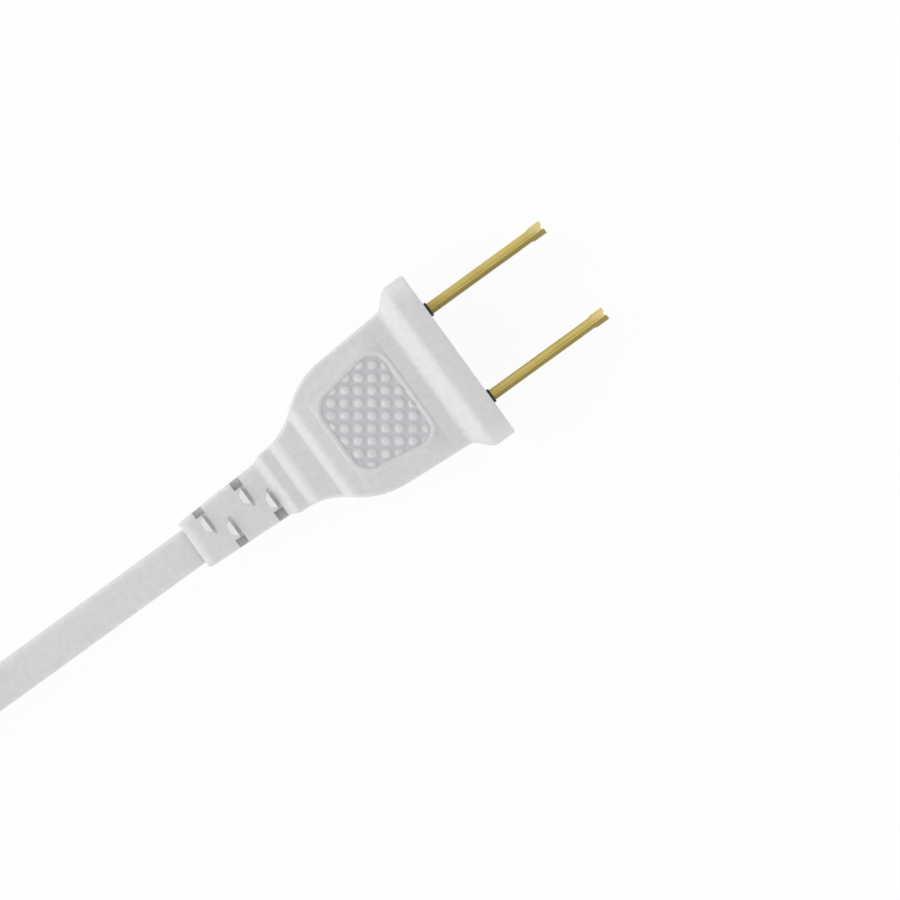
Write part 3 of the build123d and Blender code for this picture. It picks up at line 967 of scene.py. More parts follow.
@dataclass
class MouldedEnd(ABC):
    """A moulded end of the lead, about its own axis, with its front face at x = 0 looking along +X."""

    body_length: float
    body_width: float
    body_thickness: float
    body_corner: float
    body_roll: float
    body_taper: float
    shoulder_from_face: float
    shoulder_radius: float
    shoulder_angle: float
    neck_thickness: float = 0.009
    neck_length: float = 0.004
    neck_roll: float = 0.0017
    neck_width: float = 0.0085
    neck_corner: float = 0.0006
    collar_thickness: float = 0.0074
    collar_length: float = 0.0018
    collar_step: float = 0.0008
    relief_length: float = 0.0117
    relief_front: Span = (0.0075, 0.006)
    relief_end: Span = (0.0065, 0.005)
    relief_corner: float = 0.0007
    relief_round: float = 0.00095
    relief_round_length: float = 0.0014
    relief_round_aside: float = 0.25
    relief_round_shares: tuple[float, ...] = (0.0, 0.15, 0.3, 0.45, 0.6, 0.8, 1.0)
    notch_width: float = 0.0013
    notch_first: float = 0.00034
    notch_pitch: float = 0.00565
    notch_stagger: float = 0.0023
    notch_past_middle: float = 0.0004
    notch_web: float = 0.001
    notches_per_side: int = 2
    slit_width: float = 0.00045
    slit_depth: float = 0.00012
    slit_fall: float = 0.08
    slit_setback: float = 0.00003
    slit_end_round: float = 0.98
    slit_end_segments: int = 5
    lip_height: float = 0.0007
    lip_reach: float = 0.00118
    lip_root: float = 0.0003
    lip_sunk: float = 0.00003
    lip_span: Span = (0.0001, 0.0021)
    lip_round: float = 0.8
    lip_round_segments: int = 8
    cord_width: float = 0.0048
    cord_thickness: float = 0.003
    cord_corner: float = 0.0008
    cord_clearance: float = 0.00002
    softness: float = 0.00028
    crisp_angle: float = 38.0
    edge_steps: int = 5
    fine_step: float = 0.00012
    coarse_step: float = 0.0007
    fine_margin: float = 0.0004
    body_margin: float = 0.0005
    roll_margin: float = 0.0002

    SPREAD = (-1.0, -0.5, 0.0, 0.5, 1.0)

    @property
    def x_neck(self) -> float:
        """Where the neck ends and the collar starts."""
        return -self.body_length - self.neck_length

    @property
    def x_step(self) -> float:
        """Where the collar ends and steps down."""
        return self.x_neck - self.collar_length

    @property
    def x_relief(self) -> float:
        """Where the strain relief starts."""
        return self.x_step - self.collar_step

    @property
    def x_end(self) -> float:
        """Rear end of the strain relief."""
        return self.x_relief - self.relief_length

    @abstractmethod
    def taper_start(self) -> float:
        """Where the tapering sides of the body have their full width."""

    @abstractmethod
    def level_start(self) -> float:
        """Where the level part of the body starts."""

    @abstractmethod
    def front_sections(self) -> list[Section]:
        """Sections from the front face to the level part of the body."""

    @abstractmethod
    def cut_front(self, obj: bpy.types.Object) -> None:
        """Cut what opens in the front of the moulding."""

    def outline(self) -> SideOutline:
        """Side outline of the body and its neck."""
        return SideOutline(
            self.taper_start(), self.body_width, self.body_taper, -self.shoulder_from_face,
            self.shoulder_radius, self.shoulder_angle, self.neck_width,
        )

    def rounded_edge(self, full: Section, radius: float, count: int) -> list[Section]:
        """Sections of a rounded front edge.

        Args:
            full: Section behind the edge.
            radius: Radius of the edge.
            count: Sections, from the front face on.

        Returns:
            The sections, in order.
        """
        sections = []
        for place in range(count):
            sine, cosine = quarter_turn(place / self.edge_steps)
            sections.append(full.shrunk(-radius * (1 - cosine), radius * (1 - sine)))
        return sections

    def relief_size(self, x: float) -> Span:
        """Width and height of the strain relief at x."""
        share = clamped((self.x_relief - x) / self.relief_length)
        return between_sizes(self.relief_front, self.relief_end, share)

    def size(self, x: float) -> Span:
        """Width and height at x, with hard corners.

        Args:
            x: Place along the axis.

        Returns:
            The width and the height.
        """
        if x <= self.x_relief:
            return self.relief_size(x)
        width = self.outline().width(x)
        if x < self.x_step:
            share = (self.x_step - x) / self.collar_step
            return between_sizes((width, self.collar_thickness), self.relief_front, share)
        if x < -self.body_length:
            roll = Roll(self.x_neck, self.neck_thickness, self.collar_thickness, self.neck_roll)
        else:
            roll = Roll(-self.body_length, self.body_thickness, self.neck_thickness, self.body_roll)
        return width, roll.at(x)

    def corner(self, x: float) -> float:
        """Corner radius of the section at x.

        Args:
            x: Place along the axis.

        Returns:
            The radius.
        """
        if x >= -self.body_length - self.softness:
            return self.body_corner
        share = clamped((self.x_step - x) / self.collar_step)
        return between(self.neck_corner, self.relief_corner, share)

    def soft_section(self, x: float) -> Section:
        """Section at x, with the hard corners along the axis softened by a short average.

        Args:
            x: Place along the axis.

        Returns:
            The section.
        """
        places = [min(x + self.softness * share, self.level_start()) for share in self.SPREAD]
        sizes = [self.size(place) for place in places]
        width, height = (sum(measures) / len(sizes) for measures in zip(*sizes))
        return Section(x, width, height, self.corner(x))

    def rear_sections(self) -> list[Section]:
        """Sections from the level part of the body to the rounded end of the strain relief.

        Returns:
            The sections, in order.
        """
        stops = [
            (self.level_start(), self.coarse_step),
            (-self.body_length + self.body_roll + self.fine_margin, self.fine_step),
            (-self.body_length - self.body_margin, self.coarse_step),
            (self.x_neck + self.neck_roll + self.roll_margin, self.fine_step),
            (self.x_neck - self.fine_margin, self.fine_step),
            (self.x_step + self.fine_margin, self.fine_step),
            (self.x_relief - self.fine_margin, self.coarse_step),
            (self.x_end + self.relief_round_length, self.coarse_step),
        ]
        sections = []
        for (x_from, step), (x_to, _) in zip(stops, stops[1:]):
            count = max(1, round((x_from - x_to) / step))
            for place in range(count):
                sections.append(self.soft_section(between(x_from, x_to, place / count)))
        last = self.soft_section(stops[-1][0])
        for share in self.relief_round_shares:
            sine, cosine = quarter_turn(share)
            inset = 2 * self.relief_round * (1 - cosine)
            width = last.width - self.relief_round_aside * inset
            x = last.x - self.relief_round_length * sine
            sections.append(Section(x, width, last.height - inset, last.corner))
        return sections

    def cut_notches(self, obj: bpy.types.Object) -> None:
        """Cut the staggered notches, each a slit with a raised lip behind it and a pocket beside the cord.

        Args:
            obj: The moulding.
        """
        places = []
        for side, stagger in ((-1, 0.0), (1, self.notch_stagger)):
            for place in range(self.notches_per_side):
                x = self.x_relief - self.notch_first - stagger - place * self.notch_pitch
                places.append((x, side))
        shapes = ((self.notch_lip, Cut.ONTO), (self.notch_slit, Cut.AWAY), (self.notch_pocket, Cut.AWAY))
        for shape, cut in shapes:
            tools = []
            for x, side in places:
                tool = shape(x, side)
                tools += [tool, self.flipped(tool)]
            Bench.combine(obj, tools, cut)

    def flipped(self, tool: bpy.types.Object) -> bpy.types.Object:
        """A copy of a tool on the underside, mirrored in the middle plane.

        Args:
            tool: Tool on the upper side.

        Returns:
            The copy.
        """
        twin = Bench.copy(tool, scale=(1.0, 1.0, -1.0))
        Bench.edit(twin)
        Bench.face_out()
        return twin

    def notch_slit(self, x: float, side: int) -> bpy.types.Object:
        """Tool for one notch's slit, which falls from a round end past the middle.

        Args:
            x: Front of the notch.
            side: Side of the relief that it opens on.

        Returns:
            The tool.
        """
        outer_y = side * self.relief_front[0]
        inner_y = -side * self.notch_past_middle
        floor_z = self.relief_size(x)[1] / 2 - self.slit_depth
        middle = (x - self.slit_setback - self.slit_width / 2, (outer_y + inner_y) / 2, floor_z)
        tool = Bench.plane(self.slit_width, abs(outer_y - inner_y), middle)
        Bench.round_corners(
            tool, self.slit_width / 2 * self.slit_end_round, self.slit_end_segments,
            lambda vertex: abs(vertex.co.y - inner_y) < Bench.CLOSE,
        )
        Bench.extrude(tool, (0.0, 0.0, self.relief_front[1]))
        for vertex in tool.data.vertices:
            vertex.co.z -= self.slit_fall * abs(vertex.co.y - inner_y)
        return tool

    def notch_lip(self, x: float, side: int) -> bpy.types.Object:
        """The low lip behind one slit, which falls to the face of the relief.

        Args:
            x: Front of the notch.
            side: Side of the relief that the notch opens on.

        Returns:
            The lip.
        """
        front, rear = x - self.slit_width / 2, x - self.lip_reach
        inner_y, outer_y = (side * edge for edge in self.lip_span)
        face_z = self.relief_size(rear)[1] / 2
        middle = ((front + rear) / 2, (inner_y + outer_y) / 2, face_z - self.lip_root)
        lip = Bench.plane(front - rear, abs(outer_y - inner_y), middle)
        reach = (front - rear) * self.lip_round
        Bench.round_corners(lip, reach, self.lip_round_segments, lambda vertex: vertex.co.x < middle[0])
        Bench.extrude(lip, (0.0, 0.0, self.lip_root + self.lip_height))
        Bench.edit(lip, "SELECT")
        bpy.ops.mesh.bisect(
            plane_co=(rear, 0.0, face_z - self.lip_sunk),
            plane_no=(-self.lip_height, 0.0, front - rear),
            use_fill=True,
            clear_outer=True,
            threshold=Bench.CLOSE,
        )
        Bench.face_out()
        return lip

    def notch_pocket(self, x: float, side: int) -> bpy.types.Object:
        """Tool for the pocket of one notch, beside the cord.

        Args:
            x: Front of the notch.
            side: Side of the relief that it opens on.

        Returns:
            The tool.
        """
        inner_y, outer_y = side * self.cord_width / 2, side * self.relief_front[0]
        low = (x - self.notch_width, min(inner_y, outer_y), self.notch_web / 2)
        return Bench.cube(low, (x, max(inner_y, outer_y), self.relief_front[1]))

    def cut_tunnel(self, obj: bpy.types.Object) -> None:
        """Cut the tunnel of the cord, from the collar out through the end of the strain relief.

        Args:
            obj: The moulding.
        """
        x_past = 2 * self.x_end
        width, height = (size + 2 * self.cord_clearance for size in (self.cord_width, self.cord_thickness))
        tunnel = Section(x_past, width, height, self.cord_corner).bar(self.x_step + self.collar_step)
        Bench.combine(obj, [tunnel], Cut.AWAY)

    def build(self, name: str) -> bpy.types.Object:
        """Model the moulding about its own axis.

        Args:
            name: Name of the new object.

        Returns:
            The moulding.
        """
        obj = loft(name, self.front_sections() + self.rear_sections())
        self.cut_notches(obj)
        self.cut_tunnel(obj)
        self.cut_front(obj)
        return obj

    def set_down(self, obj: bpy.types.Object, place: Point, turn: float) -> None:
        """Put the finished moulding in its place and shade it.

        Args:
            obj: The moulding.
            place: Place of the middle of its front face.
            turn: Turn about Z, in degrees.
        """
        obj.rotation_euler = (0.0, 0.0, math.radians(turn))
        obj.location = place
        Bench.settle(obj)
        Bench.smooth(obj, self.crisp_angle)


@dataclass
class GripPanel:
    """The textured panel sunk in a broad face of the plug."""

    from_face: float = 0.0074
    length: float = 0.0104
    front_width: float = 0.0137
    rear_width: float = 0.0103
    front_corner: float = 0.0022
    rear_corner: float = 0.0026
    corner_segments: int = 8
    depth: float = 0.00012
    rim_radius: float = 0.00065
    rim_proud: float = 0.00008
    rim_outside: float = 0.0001
    rim_roundness: int = 12
    pitch_along: float = 0.00163
    pitch_across: float = 0.0015
    turn: float = -36.0
    bump_steps: tuple[Span, ...] = ((0.00003, 0.0), (0.00022, 0.00015), (0.00024, 0.00009))
    unevenness: float = 0.5
    uneven_scale: float = 700.0
    fade: float = 0.0008
    plate: float = 0.0006

    def outline(self, z: float, grow: float) -> bpy.types.Object:
        """The panel's outline as a flat face.

        Args:
            z: Height of the face.
            grow: How far the outline is moved outwards.

        Returns:
            The face.
        """
        front, rear = -self.from_face + grow, -self.from_face - self.length - grow
        obj = Bench.plane(front - rear, 1.0, ((front + rear) / 2, 0.0, z))
        for x, width in ((front, self.front_width), (rear, self.rear_width)):
            Bench.edit(obj)
            Bench.choose(obj, lambda vertex: abs(vertex.co.x - x) < Bench.CLOSE)
            bpy.ops.transform.resize(value=(1.0, width + 2 * grow, 1.0), center_override=(x, 0.0, z))
            Bench.clear()
        slant = math.atan2((self.front_width - self.rear_width) / 2, self.length)
        for x, radius, lean in ((rear, self.rear_corner, slant), (front, self.front_corner, -slant)):
            reach = (radius + grow) / math.tan((math.pi / 2 + lean) / 2)
            Bench.round_corners(
                obj, reach, self.corner_segments, lambda vertex: abs(vertex.co.x - x) < Bench.CLOSE
            )
        return obj

    def inside(self, x: float, y: float) -> float:
        """How far a point is inside the panel's edge, at most the corner radius.

        Args:
            x: Place along the plug.
            y: Place across the plug.

        Returns:
            The distance.
        """
        share = (-self.from_face - x) / self.length
        half = between(self.front_width, self.rear_width, share) / 2
        along = min(share, 1.0 - share) * self.length
        short = (max(self.rear_corner - along, 0.0), max(self.rear_corner - half + abs(y), 0.0))
        return self.rear_corner - math.hypot(*short)

    def prism(self, low: float, high: float, grow: float) -> bpy.types.Object:
        """The space of the panel between two heights.

        Args:
            low: Lower height.
            high: Upper height.
            grow: How far the outline is moved outwards.

        Returns:
            The closed space.
        """
        obj = self.outline(low, grow)
        Bench.extrude(obj, (0.0, 0.0, high - low))
        return obj

    def rim(self, top: float) -> bpy.types.Object:
        """The round bead along the panel's edge.

        Args:
            top: Height of the face that the panel is sunk in.

        Returns:
            The bead.
        """
        obj = self.outline(top + self.rim_proud - self.rim_radius, self.rim_outside)
        Bench.hollow(obj)
        Bench.pick(obj)
        bpy.ops.object.convert(target="CURVE")
        bead = bpy.context.object
        bead.data.bevel_depth = self.rim_radius
        bead.data.bevel_resolution = self.rim_roundness
        bpy.ops.object.convert(target="MESH")
        return bpy.context.object

    def grid(self, middle: Point) -> bpy.types.Object:
        """A sheet of bumps, each inset and raised by steps and then rounded.

        Args:
            middle: Middle of the sheet.

        Returns:
            The sheet.
        """
        reach = math.hypot(self.length, self.front_width)
        rows, columns = round(reach / self.pitch_along), round(reach / self.pitch_across)
        Bench.clear()
        bpy.ops.mesh.primitive_grid_add(
            x_subdivisions=rows, y_subdivisions=columns, size=1.0, location=middle,
            rotation=(0.0, 0.0, math.radians(self.turn)),
        )
        obj = bpy.context.object
        obj.scale = (rows * self.pitch_along, columns * self.pitch_across, 1.0)
        Bench.settle(obj)
        Bench.edit(obj)
        bpy.ops.mesh.select_mode(type="FACE")
        bpy.ops.mesh.select_all(action="SELECT")
        for inset, rise in self.bump_steps:
            bpy.ops.mesh.inset(thickness=inset, use_individual=True)
            bpy.ops.transform.translate(value=(0.0, 0.0, rise))
        Bench.clear()
        Bench.modify(obj, "SUBSURF", levels=1, render_levels=1)
        return obj

    def bumps(self, top: float) -> bpy.types.Object:
        """The panel's floor with its uneven bumps, which fade at its edge, as a closed plate.

        Args:
            top: Height of the face that the panel is sunk in.

        Returns:
            The plate.
        """
        x, y, floor_z = -self.from_face - self.length / 2, 0.0, top - self.depth
        obj = self.grid((x, y, floor_z))
        for vertex in obj.data.vertices:
            height = 1.0 + self.unevenness * noise.noise(vertex.co * self.uneven_scale)
            share = clamped(self.inside(vertex.co.x, vertex.co.y) / self.fade)
            vertex.co.z = between(floor_z, vertex.co.z, height * eased(share))
        Bench.edit(obj, "SELECT")
        bpy.ops.mesh.extrude_region_move(TRANSFORM_OT_translate={"value": (0.0, 0.0, -self.plate)})
        bpy.ops.transform.resize(value=(1.0, 1.0, 0.0), center_override=(x, y, floor_z - self.plate))
        Bench.face_out()
        Bench.combine(obj, [self.prism(top - 2 * self.plate, top + self.plate, self.depth)], Cut.WITHIN)
        return obj

    def press(self, obj: bpy.types.Object, top: float) -> None:
        """Sink the panel into both broad faces of a moulding.

        Args:
            obj: The moulding.
            top: Height of its upper face above its axis.
        """
        tools = (
            (self.prism(top - self.depth - self.plate / 2, top + self.plate, 0.0), Cut.AWAY),
            (self.bumps(top), Cut.ONTO),
            (self.rim(top), Cut.ONTO),
        )
        for tool, cut in tools:
            Bench.combine(obj, [tool, Bench.copy(tool, turn=(180.0, 0.0, 0.0))], cut)


@dataclass
class PlugMoulding(MouldedEnd):
    """The plug's soft overmoulding: flange, ramp, grip body, neck, collar and strain relief."""

    body_length: float = 0.0207
    body_width: float = 0.01904
    body_thickness: float = 0.0106
    body_corner: float = 0.0006
    body_roll: float = 0.0013
    body_taper: float = 3.8
    shoulder_from_face: float = 0.014
    shoulder_radius: float = 0.0108
    shoulder_angle: float = 41.0
    flange_width: float = 0.023
    flange_height: float = 0.0145
    flange_level: float = 0.0023
    flange_corner: float = 0.003
    flange_front_edge: float = 0.00025
    ramp_length: float = 0.0032
    ramp_steps: int = 20
    insert_from_face: float = 0.0015
    insert_depth: float = 0.005
    insert_width: float = 0.01664
    insert_height: float = 0.0086
    insert_corner: float = 0.001
    opening_ahead: float = 0.0023
    opening_depth: float = 0.00225
    opening_width: float = 0.0018
    opening_height: float = 0.00675
    opening_corner: float = 0.00065
    blade_pitch: float = 0.0127

    def level_start(self) -> float:
        """Where the ramp behind the flange ends and the level grip body starts."""
        return -self.flange_level - self.ramp_length

    def taper_start(self) -> float:
        """Where the sides of the grip body have their full width, which is behind the ramp."""
        return self.level_start()

    def front_sections(self) -> list[Section]:
        """Sections of the flange, with its rounded front edge, and of the ramp behind it."""
        full = Section(0.0, self.flange_width, self.flange_height, self.flange_corner)
        return self.rounded_edge(full, self.flange_front_edge, self.edge_steps + 1) + self.ramp_sections()

    def ramp_sections(self) -> list[Section]:
        """Sections of the ramp, which falls in an even double curve from the flange to the grip body.

        Returns:
            The sections, in order.
        """
        body_width = self.outline().width(self.level_start())
        sections = []
        for place in range(self.ramp_steps):
            share = place / self.ramp_steps
            rise = 1.0 - share**3 * (10 - 15 * share + 6 * share**2)
            sections.append(
                Section(
                    -self.flange_level - share * self.ramp_length,
                    between(body_width, self.flange_width, rise),
                    between(self.body_thickness, self.flange_height, rise),
                    between(self.body_corner, self.flange_corner, rise),
                )
            )
        return sections

    def cut_front(self, obj: bpy.types.Object) -> None:
        """Cut the pocket of the hard bridge and the openings for its collars.

        Args:
            obj: The moulding.
        """
        x_front = -self.insert_from_face
        x_rear = x_front - self.insert_depth
        bridge = Section(x_rear, self.insert_width, self.insert_height, self.insert_corner).bar(x_front)
        Bench.combine(obj, [bridge], Cut.AWAY)
        hole = Section(-self.opening_depth, self.opening_width, self.opening_height, self.opening_corner)
        openings = []
        for side in (-1, 1):
            opening = hole.bar(self.opening_ahead)
            opening.location = (0.0, side * self.blade_pitch / 2, 0.0)
            Bench.settle(opening)
            openings.append(opening)
        Bench.combine(obj, openings, Cut.AWAY)


@dataclass
class SocketMoulding(MouldedEnd):
    """The socket's soft overmoulding, with the plug's neck, collar and strain relief."""

    body_length: float = 0.032
    body_width: float = 0.0226
    body_thickness: float = 0.0145
    body_corner: float = 0.0024
    body_roll: float = 0.0032
    body_taper: float = 2.0
    shoulder_from_face: float = 0.0233
    shoulder_radius: float = 0.011
    shoulder_angle: float = 48.0
    front_edge: float = 0.0008
    cavity_depth: float = 0.02
    cavity_width: float = 0.0195
    cavity_height: float = 0.0104
    cavity_corner: float = 0.0012

    def level_start(self) -> float:
        """Where the rounded front edge ends."""
        return -self.front_edge

    def taper_start(self) -> float:
        """Where the sides of the body have their full width, which is at the front face."""
        return 0.0

    def front_sections(self) -> list[Section]:
        """Sections of the rounded front edge.

        Returns:
            The sections, in order.
        """
        width = self.outline().width(-self.front_edge)
        full = Section(-self.front_edge, width, self.body_thickness, self.body_corner)
        return self.rounded_edge(full, self.front_edge, self.edge_steps)

    def cut_front(self, obj: bpy.types.Object) -> None:
        """Cut the cavity that holds the contact carrier."""
        cavity = Section(-self.cavity_depth, self.cavity_width, self.cavity_height, self.cavity_corner)
        Bench.combine(obj, [cavity.bar(self.front_edge)], Cut.AWAY)


@dataclass
class FlatCord:
    """The flat cord: out of the plug, wound in a hank of figure-of-eight turns, and into the socket."""

    width: float = 0.0048
    thickness: float = 0.003
    corner: float = 0.0008
    corner_steps: int = 5
    length: float = 1.8
    exit: Point = (-0.028, 0.0, 0.00725)
    near_x: float = -0.104
    far_x: float = -0.1615
    fold_radius: float = 0.0144
    waist_y: float = 0.00245
    waist_radius: float = 0.016
    waist_angles: Span = (51.0, 77.0)
    floor_z: float = 0.0017
    rise: float = 0.00305
    turns: int = 7
    tie_lift: float = 0.0008
    lift_level: float = 0.006
    lift_reach: float = 0.024
    eye_points: int = 10
    eye_reach: float = 135.0
    entry_points: int = 3
    entry_angle: float = 62.0
    entry_gap: float = 12.0
    smoothness: int = 5
    lead_route: tuple[Point, ...] = (
        (-0.0158, 0.0, 0.00725),
        (-0.039, 0.0, 0.00725),
        (-0.063, 0.0, 0.0036),
        (-0.0754, 0.00075, 0.0019),
        (-0.0863, 0.00667, 0.0017),
    )
    tail_route: tuple[Point, ...] = (
        (-0.179, 0.00679, 0.02056),
        (-0.1898, 0.001, 0.0181),
        (-0.202, 0.0001, 0.0138),
        (-0.225, 0.0, 0.00725),
        (-0.2482, 0.0, 0.00725),
    )

    @property
    def middle_x(self) -> float:
        """Middle of the hank, under the tie."""
        return (self.near_x + self.far_x) / 2

    def layer_z(self, level: float, x: float) -> float:
        """Height of a layer of the hank, which is lifted where it crosses the tie.

        Args:
            level: The layer, counted from the floor.
            x: Place along the hank.

        Returns:
            The height of the cord's middle.
        """
        away = abs(x - self.middle_x)
        share = clamped((self.lift_reach - away) / (self.lift_reach - self.lift_level))
        return self.floor_z + self.rise * level + self.tie_lift * eased(share)

    def eye(self, x_eye: float, angles: Span, count: int, levels: Span) -> list[Point]:
        """Points round one eye of the hank.

        Args:
            x_eye: Middle of the eye.
            angles: First and last angle, in degrees.
            count: Points.
            levels: Layer at the start and at the stop, with the change in the first half.

        Returns:
            The points, in order.
        """
        start, stop = angles
        step = math.radians((stop - start) / (count - 1))
        radius = self.fold_radius / math.cos(step / 2)
        points = []
        for place in range(count):
            angle = math.radians(start) + step * place
            level = between(*levels, eased(clamped(2 * place / (count - 1))))
            x = x_eye + radius * math.cos(angle)
            points.append((x, radius * math.sin(angle), self.layer_z(level, x)))
        return points

    def crossing(self, side: int, level: float) -> list[Point]:
        """Points of one run from eye to eye, through the waist under the tie.

        Args:
            side: 1 for the run towards the far eye, -1 for the run back.
            level: Layer of the run.

        Returns:
            The points, in order.
        """
        centre_y = self.waist_y + self.waist_radius
        centre_x = self.near_x - math.sqrt((self.fold_radius + self.waist_radius) ** 2 - centre_y**2)
        half_step = (self.waist_angles[1] - self.waist_angles[0]) / 2
        radius = self.waist_radius / math.cos(math.radians(half_step))
        half = []
        for angle in self.waist_angles:
            turn = math.radians(-angle)
            half.append((centre_x + radius * math.cos(turn), centre_y + radius * math.sin(turn)))
        mirrored = [(2 * self.middle_x - x, y) for x, y in reversed(half)]
        run = half + [(self.middle_x, self.waist_y)] + mirrored
        if side < 0:
            run = [(x, -y) for x, y in reversed(run)]
        return [(x, y, self.layer_z(level, x)) for x, y in run]

    def hank(self) -> list[Point]:
        """Points of the hank's turns, from the plug's side to the socket's.

        Returns:
            The points, in order.
        """
        reach, top = self.eye_reach, self.turns
        entry = self.entry_angle + self.entry_gap
        near, far = (-reach, reach), (180.0 - reach, 180.0 + reach)
        points = self.eye(self.near_x, (entry, reach), self.entry_points, (0.0, 0.0))
        for turn in range(self.turns):
            points += self.crossing(1, turn)
            points += self.eye(self.far_x, far, self.eye_points, (turn, turn))
            points += self.crossing(-1, turn)
            points += self.eye(self.near_x, near, self.eye_points, (turn, turn + 1))
        points += self.crossing(1, top)
        return points + self.eye(self.far_x, (180.0 - reach, 180.0 - entry), self.entry_points, (top, top))

    def shape_section(self, profile: bpy.types.CurveProfile) -> None:
        """Draw a quarter of the section's round side: straight, round the corner and straight.

        Args:
            profile: The curve's own bevel profile, which has a point at each end.
        """
        share = self.corner / (self.thickness / 2)
        for place in range(self.corner_steps + 1):
            sine, cosine = quarter_turn(place / self.corner_steps)
            profile.points.add(1 - share + share * cosine, 1 - share + share * sine)
        for point in profile.points:
            point.handle_type_1 = "VECTOR"
            point.handle_type_2 = "VECTOR"
        profile.update()

    def build(self, name: str) -> bpy.types.Object:
        """Lay the cord as one smooth spline with a flat section that has round corners.

        Args:
            name: Name of the new object.

        Returns:
            The cord.
        """
        points = list(self.lead_route) + self.hank() + list(self.tail_route)
        curve = bpy.data.curves.new(name, "CURVE")
        curve.dimensions = "3D"
        curve.twist_mode = "Z_UP"
        curve.extrude = (self.width - self.thickness) / 2
        curve.bevel_depth = self.thickness / 2
        curve.bevel_mode = "PROFILE"
        curve.bevel_resolution = self.corner_steps + 1
        self.shape_section(curve.bevel_profile)
        curve.fill_mode = "FULL"
        curve.use_fill_caps = True
        spline = curve.splines.new("NURBS")
        spline.points.add(len(points) - 1)
        for control, point in zip(spline.points, points):
            control.co = (*point, 1.0)
            control.tilt = math.pi / 2
        spline.order_u = 3
        spline.use_endpoint_u = True
        spline.resolution_u = self.smoothness
        obj = bpy.data.objects.new(name, curve)
        bpy.context.scene.collection.objects.link(obj)
        return obj


@dataclass
class HankTie:
    """The rubber strap round the waist of the hank, with its tail lying on top."""

    node: str = "hank_tie"
    thickness: float = 0.0008
    corner: float = 0.0012
    corner_segments: int = 6
    tail_length: float = 0.006
    edge: float = 0.00022
    edge_segments: int = 3
    edge_angle: float = 40.0
    crisp_angle: float = 35.0

    SIDEWAYS = 0.5

    def build(self, name: str) -> bpy.types.Object:
        """Model the strap in the space of its CAD solid.

        Args:
            name: Name of the new object.

        Returns:
            The strap.
        """
        low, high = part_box(self.node)
        band_top = high[2] - self.thickness
        band = Bench.cube(low, (high[0], high[1], band_top))
        band.name = name
        Bench.edit(band)
        Bench.choose_parts(band, Part.FACE, lambda face: abs(face.normal.x) > self.SIDEWAYS)
        bpy.ops.mesh.delete(type="ONLY_FACE")
        Bench.choose_parts(band, Part.EDGE, self.runs_across)
        bpy.ops.mesh.bevel(offset=self.corner, segments=self.corner_segments, affect="EDGES")
        Bench.face_out()
        Bench.modify(band, "SOLIDIFY", thickness=self.thickness, offset=-1.0, use_even_offset=True)
        half = self.tail_length / 2
        sunk = band_top - self.thickness / 2
        tail = Bench.cube((low[0] + self.edge, -half, sunk), (high[0] - self.edge, half, high[2]))
        Bench.combine(band, [tail], Cut.ONTO)
        Bench.modify(
            band, "BEVEL", width=self.edge, segments=self.edge_segments, limit_method="ANGLE",
            angle_limit=math.radians(self.edge_angle),
        )
        Bench.smooth(band, self.crisp_angle)
        return band

    def runs_across(self, edge: bmesh.types.BMEdge) -> bool:
        """Whether an edge runs from one side of the strap to the other."""
        return abs(edge.verts[0].co.x - edge.verts[1].co.x) > self.thickness


